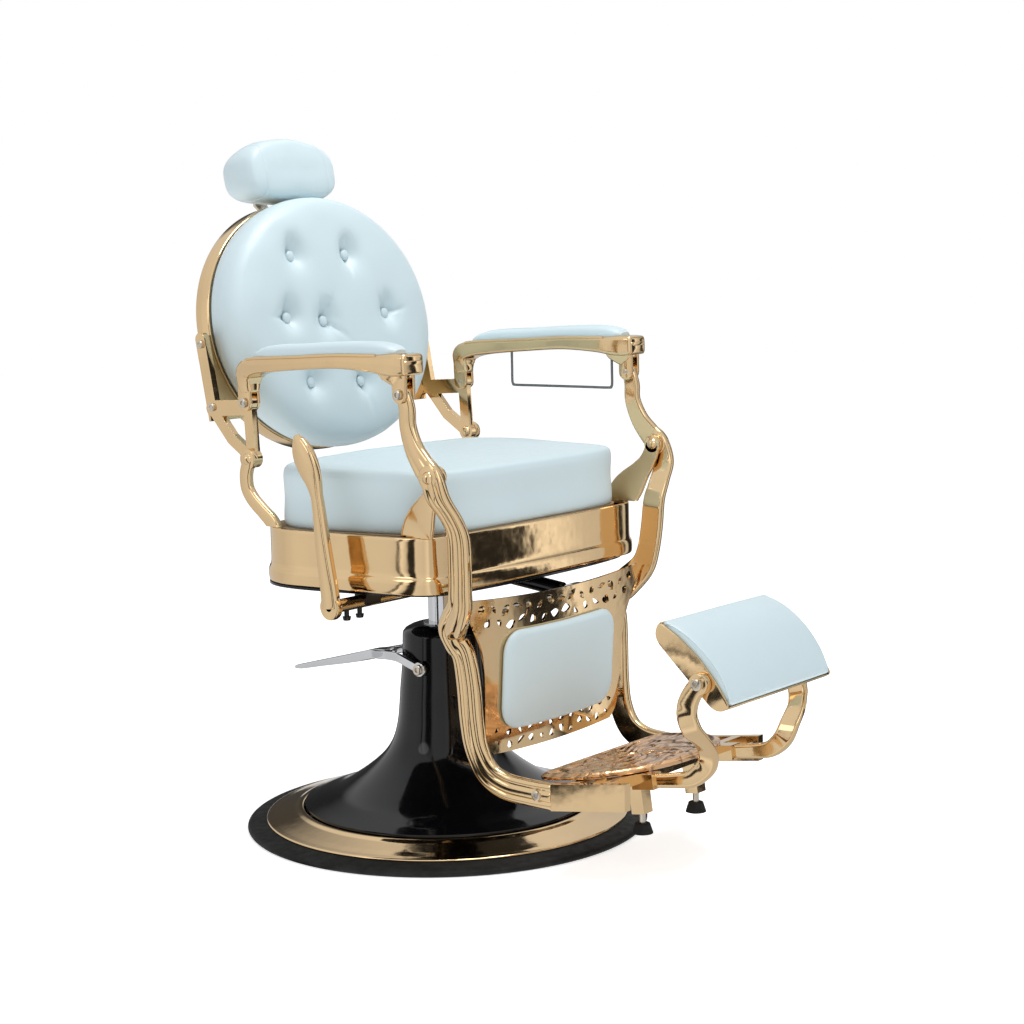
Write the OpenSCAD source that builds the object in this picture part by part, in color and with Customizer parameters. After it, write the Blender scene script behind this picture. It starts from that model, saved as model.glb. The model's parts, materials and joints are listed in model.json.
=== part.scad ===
// Reclining barber chair: a round base, a turning pump column, a drum seat with two side
// castings that carry the leg rest, a round buttoned back and a flip-over foot pad.
// The chair faces -Y. Its right side is -X. The origin is the centre of the base, on the floor.

/* [Base] */
// Radius of the rubber ring that rests on the floor
base_ring_r = 345; // [330:1:380]
// Width of the rubber ring, measured along the radius
base_ring_w = 60; // [50:1:70]
// Height of the rubber ring
base_ring_h = 17; // [15:0.5:22]
// Radius of the trim ring that lies on the rubber ring
trim_ring_r = 311; // [300:1:320]
// Thickness of the trim ring's sheet
trim_sheet = 2.5; // [1.5:0.1:4]
// Radius of the foot of the black bell
bell_r = 246; // [220:1:260]
// Wall of the black bell
bell_wall = 5; // [3:0.5:7]
// Radius of the column above the bell
column_r = 70; // [66:1:76]
// Height of the top of the column above the floor
column_top = 346; // [330:1:356]
// Thickness of the iron base plate
base_plate_t = 12; // [9:0.5:14]

/* [Pump] */
// Radius of the chrome piston rod
piston_r = 25; // [20:0.5:30]
// Outer radius of the pump cylinder
pump_r = 42; // [38:0.5:46]
// Height of the lever's pivot above the floor
pump_pivot_z = 279; // [260:1:290]
// Length of the pump lever behind its pivot
pump_lever_len = 370; // [300:1:420]
// Radius of the pump lever's stub pins
pump_pin_r = 6; // [4:0.5:7]

/* [Seat] */
// Half the width of the seat rim
seat_half_w = 306; // [300:1:312]
// Reach of the seat rim in front of the column's axis
seat_front = 222; // [216:1:226]
// Reach of the seat rim behind the column's axis
seat_back = 176; // [170:1:190]
// Height of the seat rim's lower edge above the floor
rim_bottom = 448; // [446:0.5:450]
// Height of the seat rim
rim_h = 90.5; // [88:0.5:92]
// Height of the flared lower band of the rim
rim_band_h = 26; // [20:1:32]
// How far the lower band stands out
rim_band_out = 8; // [5:0.5:10]
// Wall of the seat rim
rim_wall = 7; // [5:0.5:9]
// Height of the seat cushion at its edge
cushion_h = 98; // [90:1:104]
// Rise of the seat cushion's crown above its edge
cushion_crown = 18; // [8:1:24]

/* [Linkage] */
// Height of the front pivots, where the side castings hang on the seat
front_pivot_z = 638; // [634:0.5:642]
// Distance of the front pivots in front of the column's axis
front_pivot_y = 243; // [240:0.5:245]
// Height of the rear pivots, where the back turns on the seat
rear_pivot_z = 646; // [642:0.5:650]
// Distance of the rear pivots behind the column's axis
rear_pivot_y = 164; // [161:0.5:167]
// Rise of the arm's front pin above the front pivot
arm_front_rise = 124; // [121:0.5:127]
// Setback of the arm's front pin from the front pivot
arm_front_set = 55; // [52:0.5:58]
// Rise of the arm's rear pin above the rear pivot
arm_rear_rise = 92; // [89:0.5:95]
// Setback of the arm's rear pin from the rear pivot
arm_rear_set = 6; // [4:0.5:8]
// Distance from the middle plane to the centre of each side casting's top
casting_top_w = 295.5; // [294:0.5:297]
// Distance from the middle plane to the centre of each side casting's foot
casting_foot_w = 188; // [184:0.5:192]
// Thickness of the side castings, across the chair
casting_t = 15; // [13:0.5:16]
// Radius of the main pivot bolts
pivot_r = 6; // [5:0.25:7]
// Radius of the arm pins
arm_pin_r = 5; // [4:0.25:6]

/* [Leg rest] */
// Drop from the front pivots to the middle of the castings' feet
casting_drop = 500; // [490:1:505]
// Reach of the foot rails in front of the front pivots
rail_reach = 275; // [268:1:282]
// Height of the foot rails
rail_h = 42; // [38:1:44]
// Upward slope of the foot rest, in degrees
foot_tilt = 8; // [6:0.5:9]
// Half the width of the foot plate
foot_plate_half_w = 172; // [150:1:174]
// Depth of the foot plate, front to back
foot_plate_depth = 190; // [170:1:200]
// Thickness of the foot plate
foot_plate_t = 9; // [6:0.5:10]
// Height of the calf panel
calf_panel_h = 254; // [250:1:258]
// How far the calf panel bulges forward in the middle
calf_bulge = 9; // [6:0.5:14]
// Half the width of the calf pad
calf_pad_half_w = 146; // [138:1:150]
// Height of the calf pad
calf_pad_h = 152; // [146:1:156]

/* [Flip pad] */
// Distance of the flip pad's pins in front of the front pivots
flip_pin_reach = 385; // [381:1:389]
// Drop from the front pivots to the flip pad's pins
flip_pin_drop = 299; // [295:1:303]
// Half the length of the flip pad, across the chair
flip_half_len = 148; // [140:1:149]
// Width of the flip pad from edge to edge
flip_w = 170; // [160:1:180]
// Bulge of the flip pad's face above its edges
flip_bulge = 24; // [18:1:30]

/* [Back] */
// Half the width of the back's hoop
back_half_w = 244; // [238:1:248]
// Half the height of the back's hoop
back_half_h = 217; // [212:1:220]
// Lean of the back at rest, in degrees
back_tilt = 10; // [9:0.5:11]
// Depth of the gold hoop
hoop_d = 32; // [28:1:36]
// Thickness of the back pad in front of the hoop's rear edge
back_pad_d = 118; // [110:1:122]
// Height of the hoop's centre above the floor
hoop_z = 846; // [842:0.5:850]
// Distance of the hoop's rear edge behind the column's axis, at its centre
hoop_y = 320; // [316:0.5:324]

/* [Headrest] */
// Half the width of the headrest pad
headrest_half_w = 108; // [100:1:130]
// Height of the headrest pad
headrest_h = 112; // [100:1:116]
// Depth of the headrest pad
headrest_d = 84; // [76:1:90]
// Width of the headrest's flat bar
headrest_bar_w = 30; // [24:1:36]

/* [Arms] */
// Width of each arm casting, across the chair
arm_w = 52; // [46:1:56]
// Thickness of the arm pads in the middle
arm_pad_h = 20; // [16:1:22]
// Radius of the towel bar's wire
towel_wire_r = 2.6; // [2:0.1:3.5]

/* [Hidden] */

// Colours, as they look on the chair
gold = [0.80, 0.66, 0.45];
rose = [0.72, 0.50, 0.38];
blue = [0.78, 0.86, 0.88];
black = [0.04, 0.04, 0.045];
rubber = [0.13, 0.13, 0.14];
steel = [0.72, 0.73, 0.75];
wood = [0.62, 0.50, 0.36];

// Fits and small working values shared by all pieces
slide_fit = 0.08;
turn_fit = 0.1;
loose_fit = 0.3;
side_gap = 0.4;
seat_gap = 0.3;
cut = 1;
fine_steps = 4;
round_fn = 96;
// Sides of every round piece that names no count of its own
$fn = 48;

// Places that follow from the driving sizes
plate_bottom = base_ring_h - base_plate_t - cut;
plate_top = base_ring_h - cut;
rim_top = rim_bottom + rim_h;
front_y = -front_pivot_y;
arm_front_y = front_y + arm_front_set;
arm_front_z = front_pivot_z + arm_front_rise;
arm_rear_y = rear_pivot_y + arm_rear_set;
arm_rear_z = rear_pivot_z + arm_rear_rise;
arm_span = arm_rear_y - arm_front_y;
foot_z = front_pivot_z - casting_drop;
flip_pin_y = front_y - flip_pin_reach;
flip_pin_z = front_pivot_z - flip_pin_drop;

// Shapes and helpers

// A share of the way from a to b
function part_way(a, b, share) = a + (b - a) * share;

// A point on the smooth curve through four neighbours
function curve_point(a, b, c, d, t) =
  (2 * b + (c - a) * t + (2 * a - 5 * b + 4 * c - d) * t * t + (3 * b - a - 3 * c + d) * t * t * t) / 2;

// A smooth path through the given stations, n steps between neighbours
function smooth_path(p, n) = concat(
  [for (i = [0 : len(p) - 2], k = [0 : n - 1])
    curve_point(p[max(i - 1, 0)], p[i], p[i + 1], p[min(i + 2, len(p) - 1)], k / n)],
  [p[len(p) - 1]]);

// A closed smooth outline through the given points, n steps between neighbours
function smooth_loop(p, n) = let (m = len(p))
  [for (i = [0 : m - 1], k = [0 : n - 1])
    curve_point(p[(i + m - 1) % m], p[i], p[(i + 1) % m], p[(i + 2) % m], k / n)];

// An outline pushed outwards by d, along the direction from its own middle
function grown(p, d) = [for (q = p) q * (1 + d / norm(q))];

// The points of an ellipse
function ellipse(a, b, n) = [for (i = [0 : n - 1]) [a * cos(360 * i / n), b * sin(360 * i / n)]];

// A rounded rectangle with half sizes a and b and corner radius r
function rounded_box(a, b, r, n) = concat(
  [for (i = [0 : n]) [a - r + r * cos(90 * i / n), b - r + r * sin(90 * i / n)]],
  [for (i = [0 : n]) [r - a - r * sin(90 * i / n), b - r + r * cos(90 * i / n)]],
  [for (i = [0 : n]) [r - a - r * cos(90 * i / n), r - b - r * sin(90 * i / n)]],
  [for (i = [0 : n]) [a - r + r * sin(90 * i / n), r - b - r * cos(90 * i / n)]]);

// An outline with more points along its long straight runs
function dense(p, pitch) = let (m = len(p))
  [for (i = [2 : m + 1]) let (a = p[i % m], b = p[(i + 1) % m], n = max(1, ceil(norm(b - a) / pitch)))
    for (k = [0 : n - 1]) part_way(a, b, k / n)];

// A closed skin over rings of equal point counts, each ring running anticlockwise
module skin(rings) {
  m = len(rings[0]);
  last = len(rings) - 1;
  points = [for (ring = rings) each ring];
  sides = [for (i = [0 : last - 1], j = [0 : m - 1]) let (k = (j + 1) % m)
    each [[i * m + j, (i + 1) * m + j, (i + 1) * m + k], [i * m + j, (i + 1) * m + k, i * m + k]]];
  start_cap = [for (j = [1 : m - 2]) [0, j, j + 1]];
  end_cap = [for (j = [1 : m - 2]) [last * m, last * m + j + 1, last * m + j]];
  polyhedron(points = points, faces = concat(sides, start_cap, end_cap), convexity = 8);
}

// The direction square to a path's travel, in the YZ plane
function path_normal(s, i) = let (
  a = s[max(i - 1, 0)],
  b = s[min(i + 1, len(s) - 1)],
  l = norm([b[1] - a[1], b[2] - a[2]])) [0, (a[2] - b[2]) / l, (b[1] - a[1]) / l];

// One ring of a bar: an eight-sided section of width s[3] and thickness s[4]
function bar_ring(s, i, bevel_share) = let (
  n = path_normal(s, i),
  w = s[i][3] / 2,
  t = s[i][4] / 2,
  c = min(w, t) * bevel_share,
  p = [s[i][0], s[i][1], s[i][2]])
  [for (q = [[w, t - c], [w - c, t], [c - w, t], [-w, t - c], [-w, c - t], [c - w, -t], [w - c, -t],
    [w, c - t]])
    p + q[0] * n + [q[1], 0, 0]];

// A bar swept through stations of [x, y, z, width, thickness]
module bar(stations, steps, bevel_share) {
  s = smooth_path(stations, steps);
  skin([for (i = [0 : len(s) - 1]) bar_ring(s, i, bevel_share)]);
}

// A plate in the YZ plane: its outline is drawn as [y, z], and it is t thick about x = w
module yz_plate(w, t) {
  translate([w - t / 2, 0, 0])
    rotate([90, 0, 90])
      linear_extrude(t) children();
}

// A flat link between two points, with round ends
module link(a, b, width) {
  n = [a[1] - b[1], b[0] - a[0]] * width / 2 / norm(b - a);
  polygon([a + n, a - n, b - n, b + n]);
  translate(a) circle(d = width);
  translate(b) circle(d = width);
}

// A pin or bore along X through [y, z], from x = a to x = b
module x_rod(a, b, y, z, r) {
  translate([a, y, z])
    rotate([0, 90, 0]) cylinder(h = b - a, r = r);
}

// The same, reaching from w by half its length each way
module x_through(w, half, y, z, r) {
  x_rod(w - half, w + half, y, z, r);
}

// The same piece on the chair's right side
module right_side() {
  mirror([1, 0, 0]) children();
}

module both_sides() {
  children();
  right_side() children();
}

// Base: rubber ring, iron plate, trim ring, spindle and bolts
ring_lip = 8;
ring_inner_r = base_ring_r - base_ring_w;
ledge_r = ring_inner_r + base_ring_w / 4;

module base_rubber_ring() {
  color(rubber) rotate_extrude($fn = round_fn)
    polygon([
      [ring_inner_r, 0], [base_ring_r - ring_lip / 2, 0], [base_ring_r, ring_lip / 2],
      [base_ring_r, ring_lip], [base_ring_r - ring_lip / 2, ring_lip + ring_lip / 3],
      [trim_ring_r, base_ring_h], [ledge_r, base_ring_h],
      [ledge_r, plate_bottom], [ring_inner_r, plate_bottom]]);
}

spindle_r = 20;
flange_t = 4;
spindle_h = 34;
bolt_circle_r = 110;
bolt_r = 5;
bolt_head_r = 9;
bolt_head_h = 6;
bolt_count = 4;
plate_foot_r = 70;

module at_bolts() {
  for (i = [0 : bolt_count - 1])
    rotate([0, 0, 360 * (i + 0.5) / bolt_count])
      translate([bolt_circle_r, 0, 0]) children();
}

module base_plate() {
  color(black) difference() {
    union() {
      cylinder(h = plate_top, r = plate_foot_r, $fn = round_fn);
      translate([0, 0, plate_bottom])
        cylinder(h = base_plate_t, r = ledge_r - loose_fit, $fn = round_fn);
    }
    at_bolts() cylinder(h = base_ring_h + cut, r = bolt_r + turn_fit);
  }
}

spindle_plate_r = bolt_circle_r + 2 * bolt_head_r;
spindle_top = plate_top + flange_t + spindle_h;

module base_spindle() {
  color(steel) difference() {
    union() {
      translate([0, 0, plate_top])
        cylinder(h = flange_t, r = spindle_plate_r, $fn = round_fn);
      translate([0, 0, plate_top])
        cylinder(h = flange_t + spindle_h, r = spindle_r);
    }
    at_bolts() cylinder(h = plate_top + flange_t + cut, r = bolt_r + turn_fit);
  }
}

module base_bolts() {
  color(steel) at_bolts() {
    translate([0, 0, plate_bottom]) cylinder(h = base_plate_t + flange_t, r = bolt_r);
    translate([0, 0, plate_top + flange_t]) cylinder(h = bolt_head_h, r = bolt_head_r, $fn = 6);
  }
}

trim_rise = 19;
bell_gap = 2;
trim_inner_r = bell_r + bell_gap;
trim_top = base_ring_h + trim_rise;

module base_trim_ring() {
  color(gold) rotate_extrude($fn = round_fn)
    polygon([
      [ledge_r, base_ring_h], [trim_ring_r, base_ring_h], [trim_ring_r, base_ring_h + trim_sheet],
      [ledge_r, base_ring_h + 2 * trim_sheet], [trim_inner_r + trim_sheet, trim_top],
      [trim_inner_r, trim_top], [trim_inner_r, trim_top - trim_sheet]]);
}

// Column: bell, pump cylinder, bearing and guide, which all turn with the seat
bell_lift = 1.5;
bell_foot_z = trim_top + bell_lift;
bell_foot_lip = 4;
shoulder_drop = 17;
column_shoulder = column_top - shoulder_drop;
column_cap_r = 46;
guide_r = 34;
// Shares of the bell's flare and of its height, from the foot up to the column's shoulder
bell_shares = [
  [1, 0], [0.90, 0.022], [0.66, 0.075], [0.36, 0.195], [0.165, 0.315], [0.075, 0.46],
  [0.035, 0.69], [0.012, 0.83], [0, 1]];
bell_line = smooth_path([for (s = bell_shares)
  [column_r + (bell_r - column_r) * s[0],
    part_way(bell_foot_z + bell_foot_lip, column_shoulder, s[1])]], fine_steps);
bell_top_i = len(bell_line) - 1;

module column_bell() {
  color(black) difference() {
    rotate_extrude($fn = round_fn)
      polygon(concat(
        [[bell_r - bell_wall, bell_foot_z], [bell_r, bell_foot_z]],
        bell_line,
        [[column_cap_r, column_top], [guide_r + slide_fit, column_top],
          [guide_r + slide_fit, column_top - 2 * bell_wall],
          [pump_r + cut, column_top - 2 * bell_wall]],
        [for (i = [bell_top_i : -1 : 1])
          [bell_line[i][0] - bell_wall, bell_line[i][1] - bell_wall]],
        [[bell_r - 2 * bell_wall, bell_foot_z + bell_foot_lip - bell_wall / 2]]));
    x_rod(-2 * column_r, 2 * column_r, pump_pivot_y, pump_pivot_z, pump_pin_r + slide_fit);
  }
}

pump_lift = 2;
pump_bottom = plate_top + 2 * flange_t + pump_lift;
pump_top = column_top - 2 * bell_wall;
chamber_lift = 6;
chamber_floor = spindle_top + chamber_lift;
chamber_gap = 2;
chamber_r = piston_r + chamber_gap;
pump_flange_r = 62;

module pump_cylinder() {
  color(steel) difference() {
    union() {
      translate([0, 0, pump_bottom])
        cylinder(h = 2 * flange_t, r = pump_flange_r, $fn = round_fn);
      translate([0, 0, pump_bottom]) cylinder(h = pump_top - pump_bottom, r = pump_r, $fn = round_fn);
    }
    translate([0, 0, pump_bottom - cut])
      cylinder(h = spindle_top - pump_bottom + 2 * cut, r = spindle_r + turn_fit);
    translate([0, 0, chamber_floor])
      cylinder(h = pump_top - chamber_floor + cut, r = chamber_r);
  }
}

module swivel_bearing() {
  bearing_bottom = plate_top + flange_t;
  color(steel) translate([0, 0, bearing_bottom])
    difference() {
      cylinder(h = pump_bottom - bearing_bottom, r = pump_flange_r - bell_wall, $fn = round_fn);
      translate([0, 0, -cut])
        cylinder(h = pump_bottom - bearing_bottom + 2 * cut, r = spindle_r + 1);
    }
}

guide_lip = 2;

module piston_guide() {
  color(steel) translate([0, 0, pump_top])
    difference() {
      cylinder(h = column_top - pump_top + guide_lip, r = guide_r, $fn = round_fn);
      translate([0, 0, -cut])
        cylinder(h = column_top, r = piston_r + slide_fit);
    }
}

// Pump lever: two prongs that hug the column and join into one blade behind it
pump_pivot_y = -15;
prong_gap = 10.5;
prong_x = column_r + prong_gap;
prong_t = 7;
prong_w = 14;
pump_eye_r = 12;
pin_head_r = 9;
pin_head_t = 4;
pin_root = 14;
pin_inner_x = pump_r + pin_root;

module pump_lever_pins() {
  color(steel) both_sides() {
    x_rod(pin_inner_x, prong_x + prong_t / 2 + side_gap, pump_pivot_y, pump_pivot_z, pump_pin_r);
    x_rod(prong_x + prong_t / 2 + side_gap, prong_x + prong_t / 2 + side_gap + pin_head_t,
      pump_pivot_y, pump_pivot_z, pin_head_r);
  }
}

// Shares of the lever's length behind the pivot, of the prongs' half spread, of the rise, and of the width
pump_rise = 16;
pump_prong_shares = [
  [0, 1, 0, 1], [0.06, 1, 0.45, 1], [0.14, 0.98, 0.95, 1], [0.24, 0.82, 0.8, 1],
  [0.34, 0.52, 0.35, 1], [0.44, 0.2, -0.1, 1], [0.5, 0.1, -0.45, 1.05]];
pump_blade_shares = [
  [0.42, 0.02, 1.2], [0.5, -0.42, 1.15], [0.7, -1.5, 1], [0.9, -2.6, 0.9], [0.97, -2.95, 0.8],
    [1, -3.1, 0.5]];

module pump_lever() {
  color(steel) difference() {
    union() {
      both_sides() {
        bar([for (s = pump_prong_shares)
          [prong_x * s[1], pump_pivot_y + pump_lever_len * s[0], pump_pivot_z + pump_rise * s[2],
            prong_w * s[3], prong_t]], 2, 0.5);
        x_rod(prong_x - prong_t / 2, prong_x + prong_t / 2, pump_pivot_y, pump_pivot_z, pump_eye_r);
      }
      bar([for (s = pump_blade_shares)
        [0, pump_pivot_y + pump_lever_len * s[0], pump_pivot_z + pump_rise * s[1],
          prong_t * 1.3, prong_w * 2 * s[2]]], 2, 0.6);
    }
    both_sides()
      x_through(prong_x, prong_t, pump_pivot_y, pump_pivot_z, pump_pin_r + slide_fit);
    translate([0, pump_pivot_y + pump_lever_len * 0.965, pump_pivot_z - pump_rise * 4])
      cylinder(h = pump_rise * 3, r = prong_t / 2);
  }
}

// Seat: piston rod, frame, rim, board and cushion
rod_reach = 226;
rod_bottom = column_top - rod_reach;
rod_collar_r = 46;
frame_t = 4;
frame_bottom = rim_bottom - frame_t;
hub_h = 30;
hub_flange_t = 8;
hub_flange_r = 84;

module piston_rod() {
  color(steel) translate([0, 0, rod_bottom])
    cylinder(h = frame_bottom - hub_flange_t - rod_bottom, r = piston_r, $fn = round_fn);
}

// Shares of the rim's half width and of its reach, from the middle of the front round to the back
rim_shares = [
  [0, -1], [0.39, -0.985], [0.67, -0.945], [0.80, -0.885], [0.865, -0.775], [0.915, -0.54],
  [0.955, -0.27], [0.987, 0], [1, 0.28], [0.98, 0.52], [0.915, 0.716], [0.80, 0.852],
  [0.59, 0.937], [0.29, 0.983], [0, 1]];
function rim_place(s, side) = [side * seat_half_w * s[0], s[1] < 0 ? seat_front * s[1] : seat_back * s[1]];
rim_last = len(rim_shares) - 1;
rim_line = smooth_loop(concat(
  [for (s = rim_shares) rim_place(s, 1)],
  [for (i = [rim_last - 1 : -1 : 1]) rim_place(rim_shares[i], -1)]), fine_steps);

rim_ledge_w = 10;
rim_ledge_t = 6;
board_t = 9;

module seat_rim() {
  color(gold) difference() {
    union() {
      translate([0, 0, rim_bottom]) linear_extrude(rim_h) polygon(rim_line);
      translate([0, 0, rim_bottom])
        linear_extrude(rim_band_h) polygon(grown(rim_line, rim_band_out));
    }
    translate([0, 0, rim_bottom - cut])
      linear_extrude(rim_h - board_t - rim_ledge_t + cut) polygon(grown(rim_line, -rim_wall));
    translate([0, 0, rim_bottom - cut])
      linear_extrude(rim_h + 2 * cut) polygon(grown(rim_line, -rim_wall - rim_ledge_w));
    translate([0, 0, rim_top - board_t])
      linear_extrude(board_t + cut) polygon(grown(rim_line, -rim_wall));
  }
}

module seat_board() {
  color(wood) translate([0, 0, rim_top - board_t])
    linear_extrude(board_t) polygon(grown(rim_line, -rim_wall - seat_gap));
}

// The cushion's rings: shares of the edge height and millimetres in from the rim's line
cushion_inset = 18;
cushion_set = 9;
cushion_draw = 4;
cushion_edge_r = 9;
cushion_side_shares = [[0, 1], [0.06, 0.25], [0.2, 0], [0.78, 0]];
cushion_round_shares = [[0.9, 0.2], [0.97, 0.55], [1, 1]];
cushion_top_shares = [0.96, 0.85, 0.6, 0.25];
cushion_bottom = rim_top + seat_gap;

module seat_cushion() {
  edge_line = grown(rim_line, -cushion_inset);
  color(blue) translate([0, -cushion_set, 0]) skin(concat(
    [for (s = cushion_side_shares) [for (q = grown(edge_line, -cushion_draw * s[1]))
      [q[0], q[1], cushion_bottom + cushion_h * s[0]]]],
    [for (s = cushion_round_shares) [for (q = grown(edge_line, -cushion_edge_r * s[1]))
      [q[0], q[1], cushion_bottom + cushion_h * s[0]]]],
    [for (s = cushion_top_shares) [for (q = grown(edge_line, -cushion_edge_r))
      [q[0] * s, q[1] * s, cushion_bottom + cushion_h + cushion_crown * (1 - s * s)]]]));
}

// Under the seat: frame with lever saddle and strut lugs
lever_y = -62;
lever_z = 428;
tube_r = 10.5;
shaft_r = 7;
tube_out = 26;
tube_outer_x = seat_half_w + tube_out;
tube_inner_x = 70;
saddle_in = 78;
saddle_x = tube_outer_x - saddle_in;
saddle_w = 26;
saddle_l = 60;
strut_x = 104;
strut_seat_y = -10;
strut_seat_z = 424;
strut_lug_t = 8;
strut_lug_w = 30;
strut_pin_r = 6;
strut_eye_w = 22;
lug_gap = strut_eye_w / 2 + side_gap;
channel_w = 44;
channel_h = 34;
channel_t = 5;
channel_x = 150;
channel_l = 270;
frame_inset = 4;

module seat_frame() {
  color(black) difference() {
    union() {
      translate([0, 0, frame_bottom])
        linear_extrude(frame_t) polygon(grown(rim_line, rim_band_out - frame_inset));
      translate([0, 0, frame_bottom - hub_flange_t])
        cylinder(h = hub_flange_t, r = hub_flange_r, $fn = round_fn);
      translate([0, 0, frame_bottom - hub_flange_t - hub_h])
        cylinder(h = hub_h, r = rod_collar_r, $fn = round_fn);
      for (side = [-1, 1])
        translate([side * channel_x - channel_w / 2, -channel_l / 2, rim_bottom])
          cube([channel_w, channel_l, channel_h]);
      for (x = [-saddle_x, -tube_inner_x - saddle_w])
        translate([x - saddle_l / 2 + saddle_w / 2, lever_y - saddle_w / 2, lever_z - tube_r / 2])
          cube([saddle_l - saddle_w, saddle_w, frame_bottom - lever_z + tube_r / 2]);
      for (side = [-1, 1])
        yz_plate(strut_x + side * (lug_gap + strut_lug_t / 2), strut_lug_t) {
          translate([strut_seat_y, strut_seat_z]) circle(d = strut_lug_w);
          translate([strut_seat_y - strut_lug_w / 2, strut_seat_z])
            square([strut_lug_w, frame_bottom - strut_seat_z]);
        }
      x_rod(strut_x - lug_gap - strut_lug_t, strut_x + lug_gap + strut_lug_t,
        strut_seat_y, strut_seat_z, strut_pin_r);
    }
    for (side = [-1, 1])
      translate([side * channel_x - channel_w / 2 + channel_t, -channel_l / 2 - cut, rim_bottom - cut])
        cube([channel_w - 2 * channel_t, channel_l + 2 * cut, channel_h - channel_t + cut]);
    x_rod(-tube_outer_x, -tube_inner_x + cut, lever_y, lever_z, tube_r + slide_fit);
    translate([0, 0, frame_bottom - hub_flange_t - hub_h - cut])
      cylinder(h = hub_h + cut, r = piston_r + slide_fit);
  }
}

// Brackets and posts that stand on the rim and carry the pivots
casting_pivot_w = casting_top_w + casting_t * 0.37;
pivot_boss_t = casting_t * 1.15;
bracket_t = 10;
bracket_w = casting_pivot_w - pivot_boss_t / 2 - bracket_t / 2 - side_gap;
boss_r = 16;
bracket_foot_y = -186;
bracket_foot_in = 36;
bracket_foot_w = seat_half_w - bracket_foot_in;
// Shares of the way up from the rim to the pivot, of the way forward, of the way outwards, and of the width
bracket_shares = [
  [-0.05, 0, 0, 2.1], [0.12, 0.05, 0.15, 1.85], [0.32, 0.22, 0.5, 1.4], [0.52, 0.5, 0.85, 1.05],
  [0.67, 0.73, 1, 1], [0.85, 0.93, 1, 1], [1, 1, 1, 0.95]];
bracket_unit = 29;

// The space below the rim's top, cut off the feet that stand on it
module below_rim() {
  translate([0, -seat_half_w, rim_bottom]) cube([2 * seat_half_w, 2 * seat_half_w, rim_h]);
}

module front_bracket() {
  web_t = bracket_t * 0.7;
  color(gold) difference() {
    union() {
      bar([for (s = bracket_shares)
        [part_way(bracket_foot_w, bracket_w + web_t / 2 - bracket_t / 2, s[2]),
          part_way(bracket_foot_y, front_y, s[1]), part_way(rim_top, front_pivot_z, s[0]),
          bracket_unit * s[3], web_t]], 2, 0.4);
      x_rod(bracket_w - bracket_t / 2, bracket_w + bracket_t / 2, front_y, front_pivot_z, boss_r);
    }
    below_rim();
    x_through(bracket_w, bracket_t, front_y, front_pivot_z, pivot_r + slide_fit);
  }
}

module front_bracket_left() { front_bracket(); }
module front_bracket_right() { right_side() front_bracket(); }

post_t = 10;
post_w = 20;
post_boss_r = 17;
post_x = 285.4;
post_foot_in = 20;
post_foot_x = seat_half_w - post_foot_in;
// Shares of the way up from the rim to the pivot, of the way back, and of the way inwards
post_shares = [
  [-0.12, -0.1, 0, 1.2], [0.06, 0.08, 0.05, 1.1], [0.2, 0.42, 0.25, 1], [0.38, 0.86, 0.6, 1],
    [0.55, 1.1, 0.85, 1],
  [0.75, 1.14, 1, 1], [0.9, 1.06, 1, 1], [1, 1, 1, 1]];
post_foot_y = 110;

module rear_post() {
  color(gold) difference() {
    union() {
      bar([for (s = post_shares)
        [part_way(post_foot_x, post_x, s[2]), part_way(post_foot_y, rear_pivot_y, s[1]),
          part_way(rim_top, rear_pivot_z, s[0]), post_w * s[3], post_t]], 2, 0.4);
      x_rod(post_x - post_t / 2, post_x + post_t / 2, rear_pivot_y, rear_pivot_z, post_boss_r);
    }
    below_rim();
    x_through(post_x, post_t, rear_pivot_y, rear_pivot_z, pivot_r + slide_fit);
  }
}

module rear_post_left() { rear_post(); }
module rear_post_right() { right_side() rear_post(); }

back_frame_t = 12;
back_frame_x = post_x - post_t / 2 - side_gap - back_frame_t / 2;
bolt_ball_r = 11;
bolt_ball_h = 6;

// A domed head whose flat face stands at x, square to X
module bolt_dome(x, y, z) {
  intersection() {
    translate([x - bolt_ball_r + bolt_ball_h, y, z]) sphere(r = bolt_ball_r);
    x_rod(x, x + bolt_ball_r, y, z, 2 * bolt_ball_r);
  }
}

// A main pivot bolt: shank with a domed head at each end
module pivot_bolt(inner_x, outer_x, y, z) {
  x_rod(inner_x - cut, outer_x + cut, y, z, pivot_r);
  bolt_dome(outer_x, y, z);
  mirror([1, 0, 0]) bolt_dome(-inner_x, y, z);
}

module pivot_bolts() {
  color(gold) both_sides() {
    pivot_bolt(bracket_w - bracket_t / 2, casting_pivot_w + pivot_boss_t / 2 + side_gap,
      front_y, front_pivot_z);
    pivot_bolt(back_frame_x - back_frame_t / 2 - side_gap, post_x + post_t / 2,
      rear_pivot_y, rear_pivot_z);
  }
}

// Recline lever: tube and bolts on the frame, lever and shaft that turn
tube_bolt_in = 28;
tube_bolt_pitch = 30;
tube_bolt_x = [tube_outer_x - tube_bolt_in, tube_outer_x - tube_bolt_in - tube_bolt_pitch];
tube_bolt_r = 4;
tube_bolt_head_r = 7;
tube_bolt_head_h = 6;
tube_bolt_len = 9;

module lever_tube() {
  color(gold) difference() {
    x_rod(-tube_outer_x, -tube_inner_x, lever_y, lever_z, tube_r);
    x_rod(-tube_outer_x - cut, -tube_inner_x + cut, lever_y, lever_z, shaft_r + turn_fit);
  }
}

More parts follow.
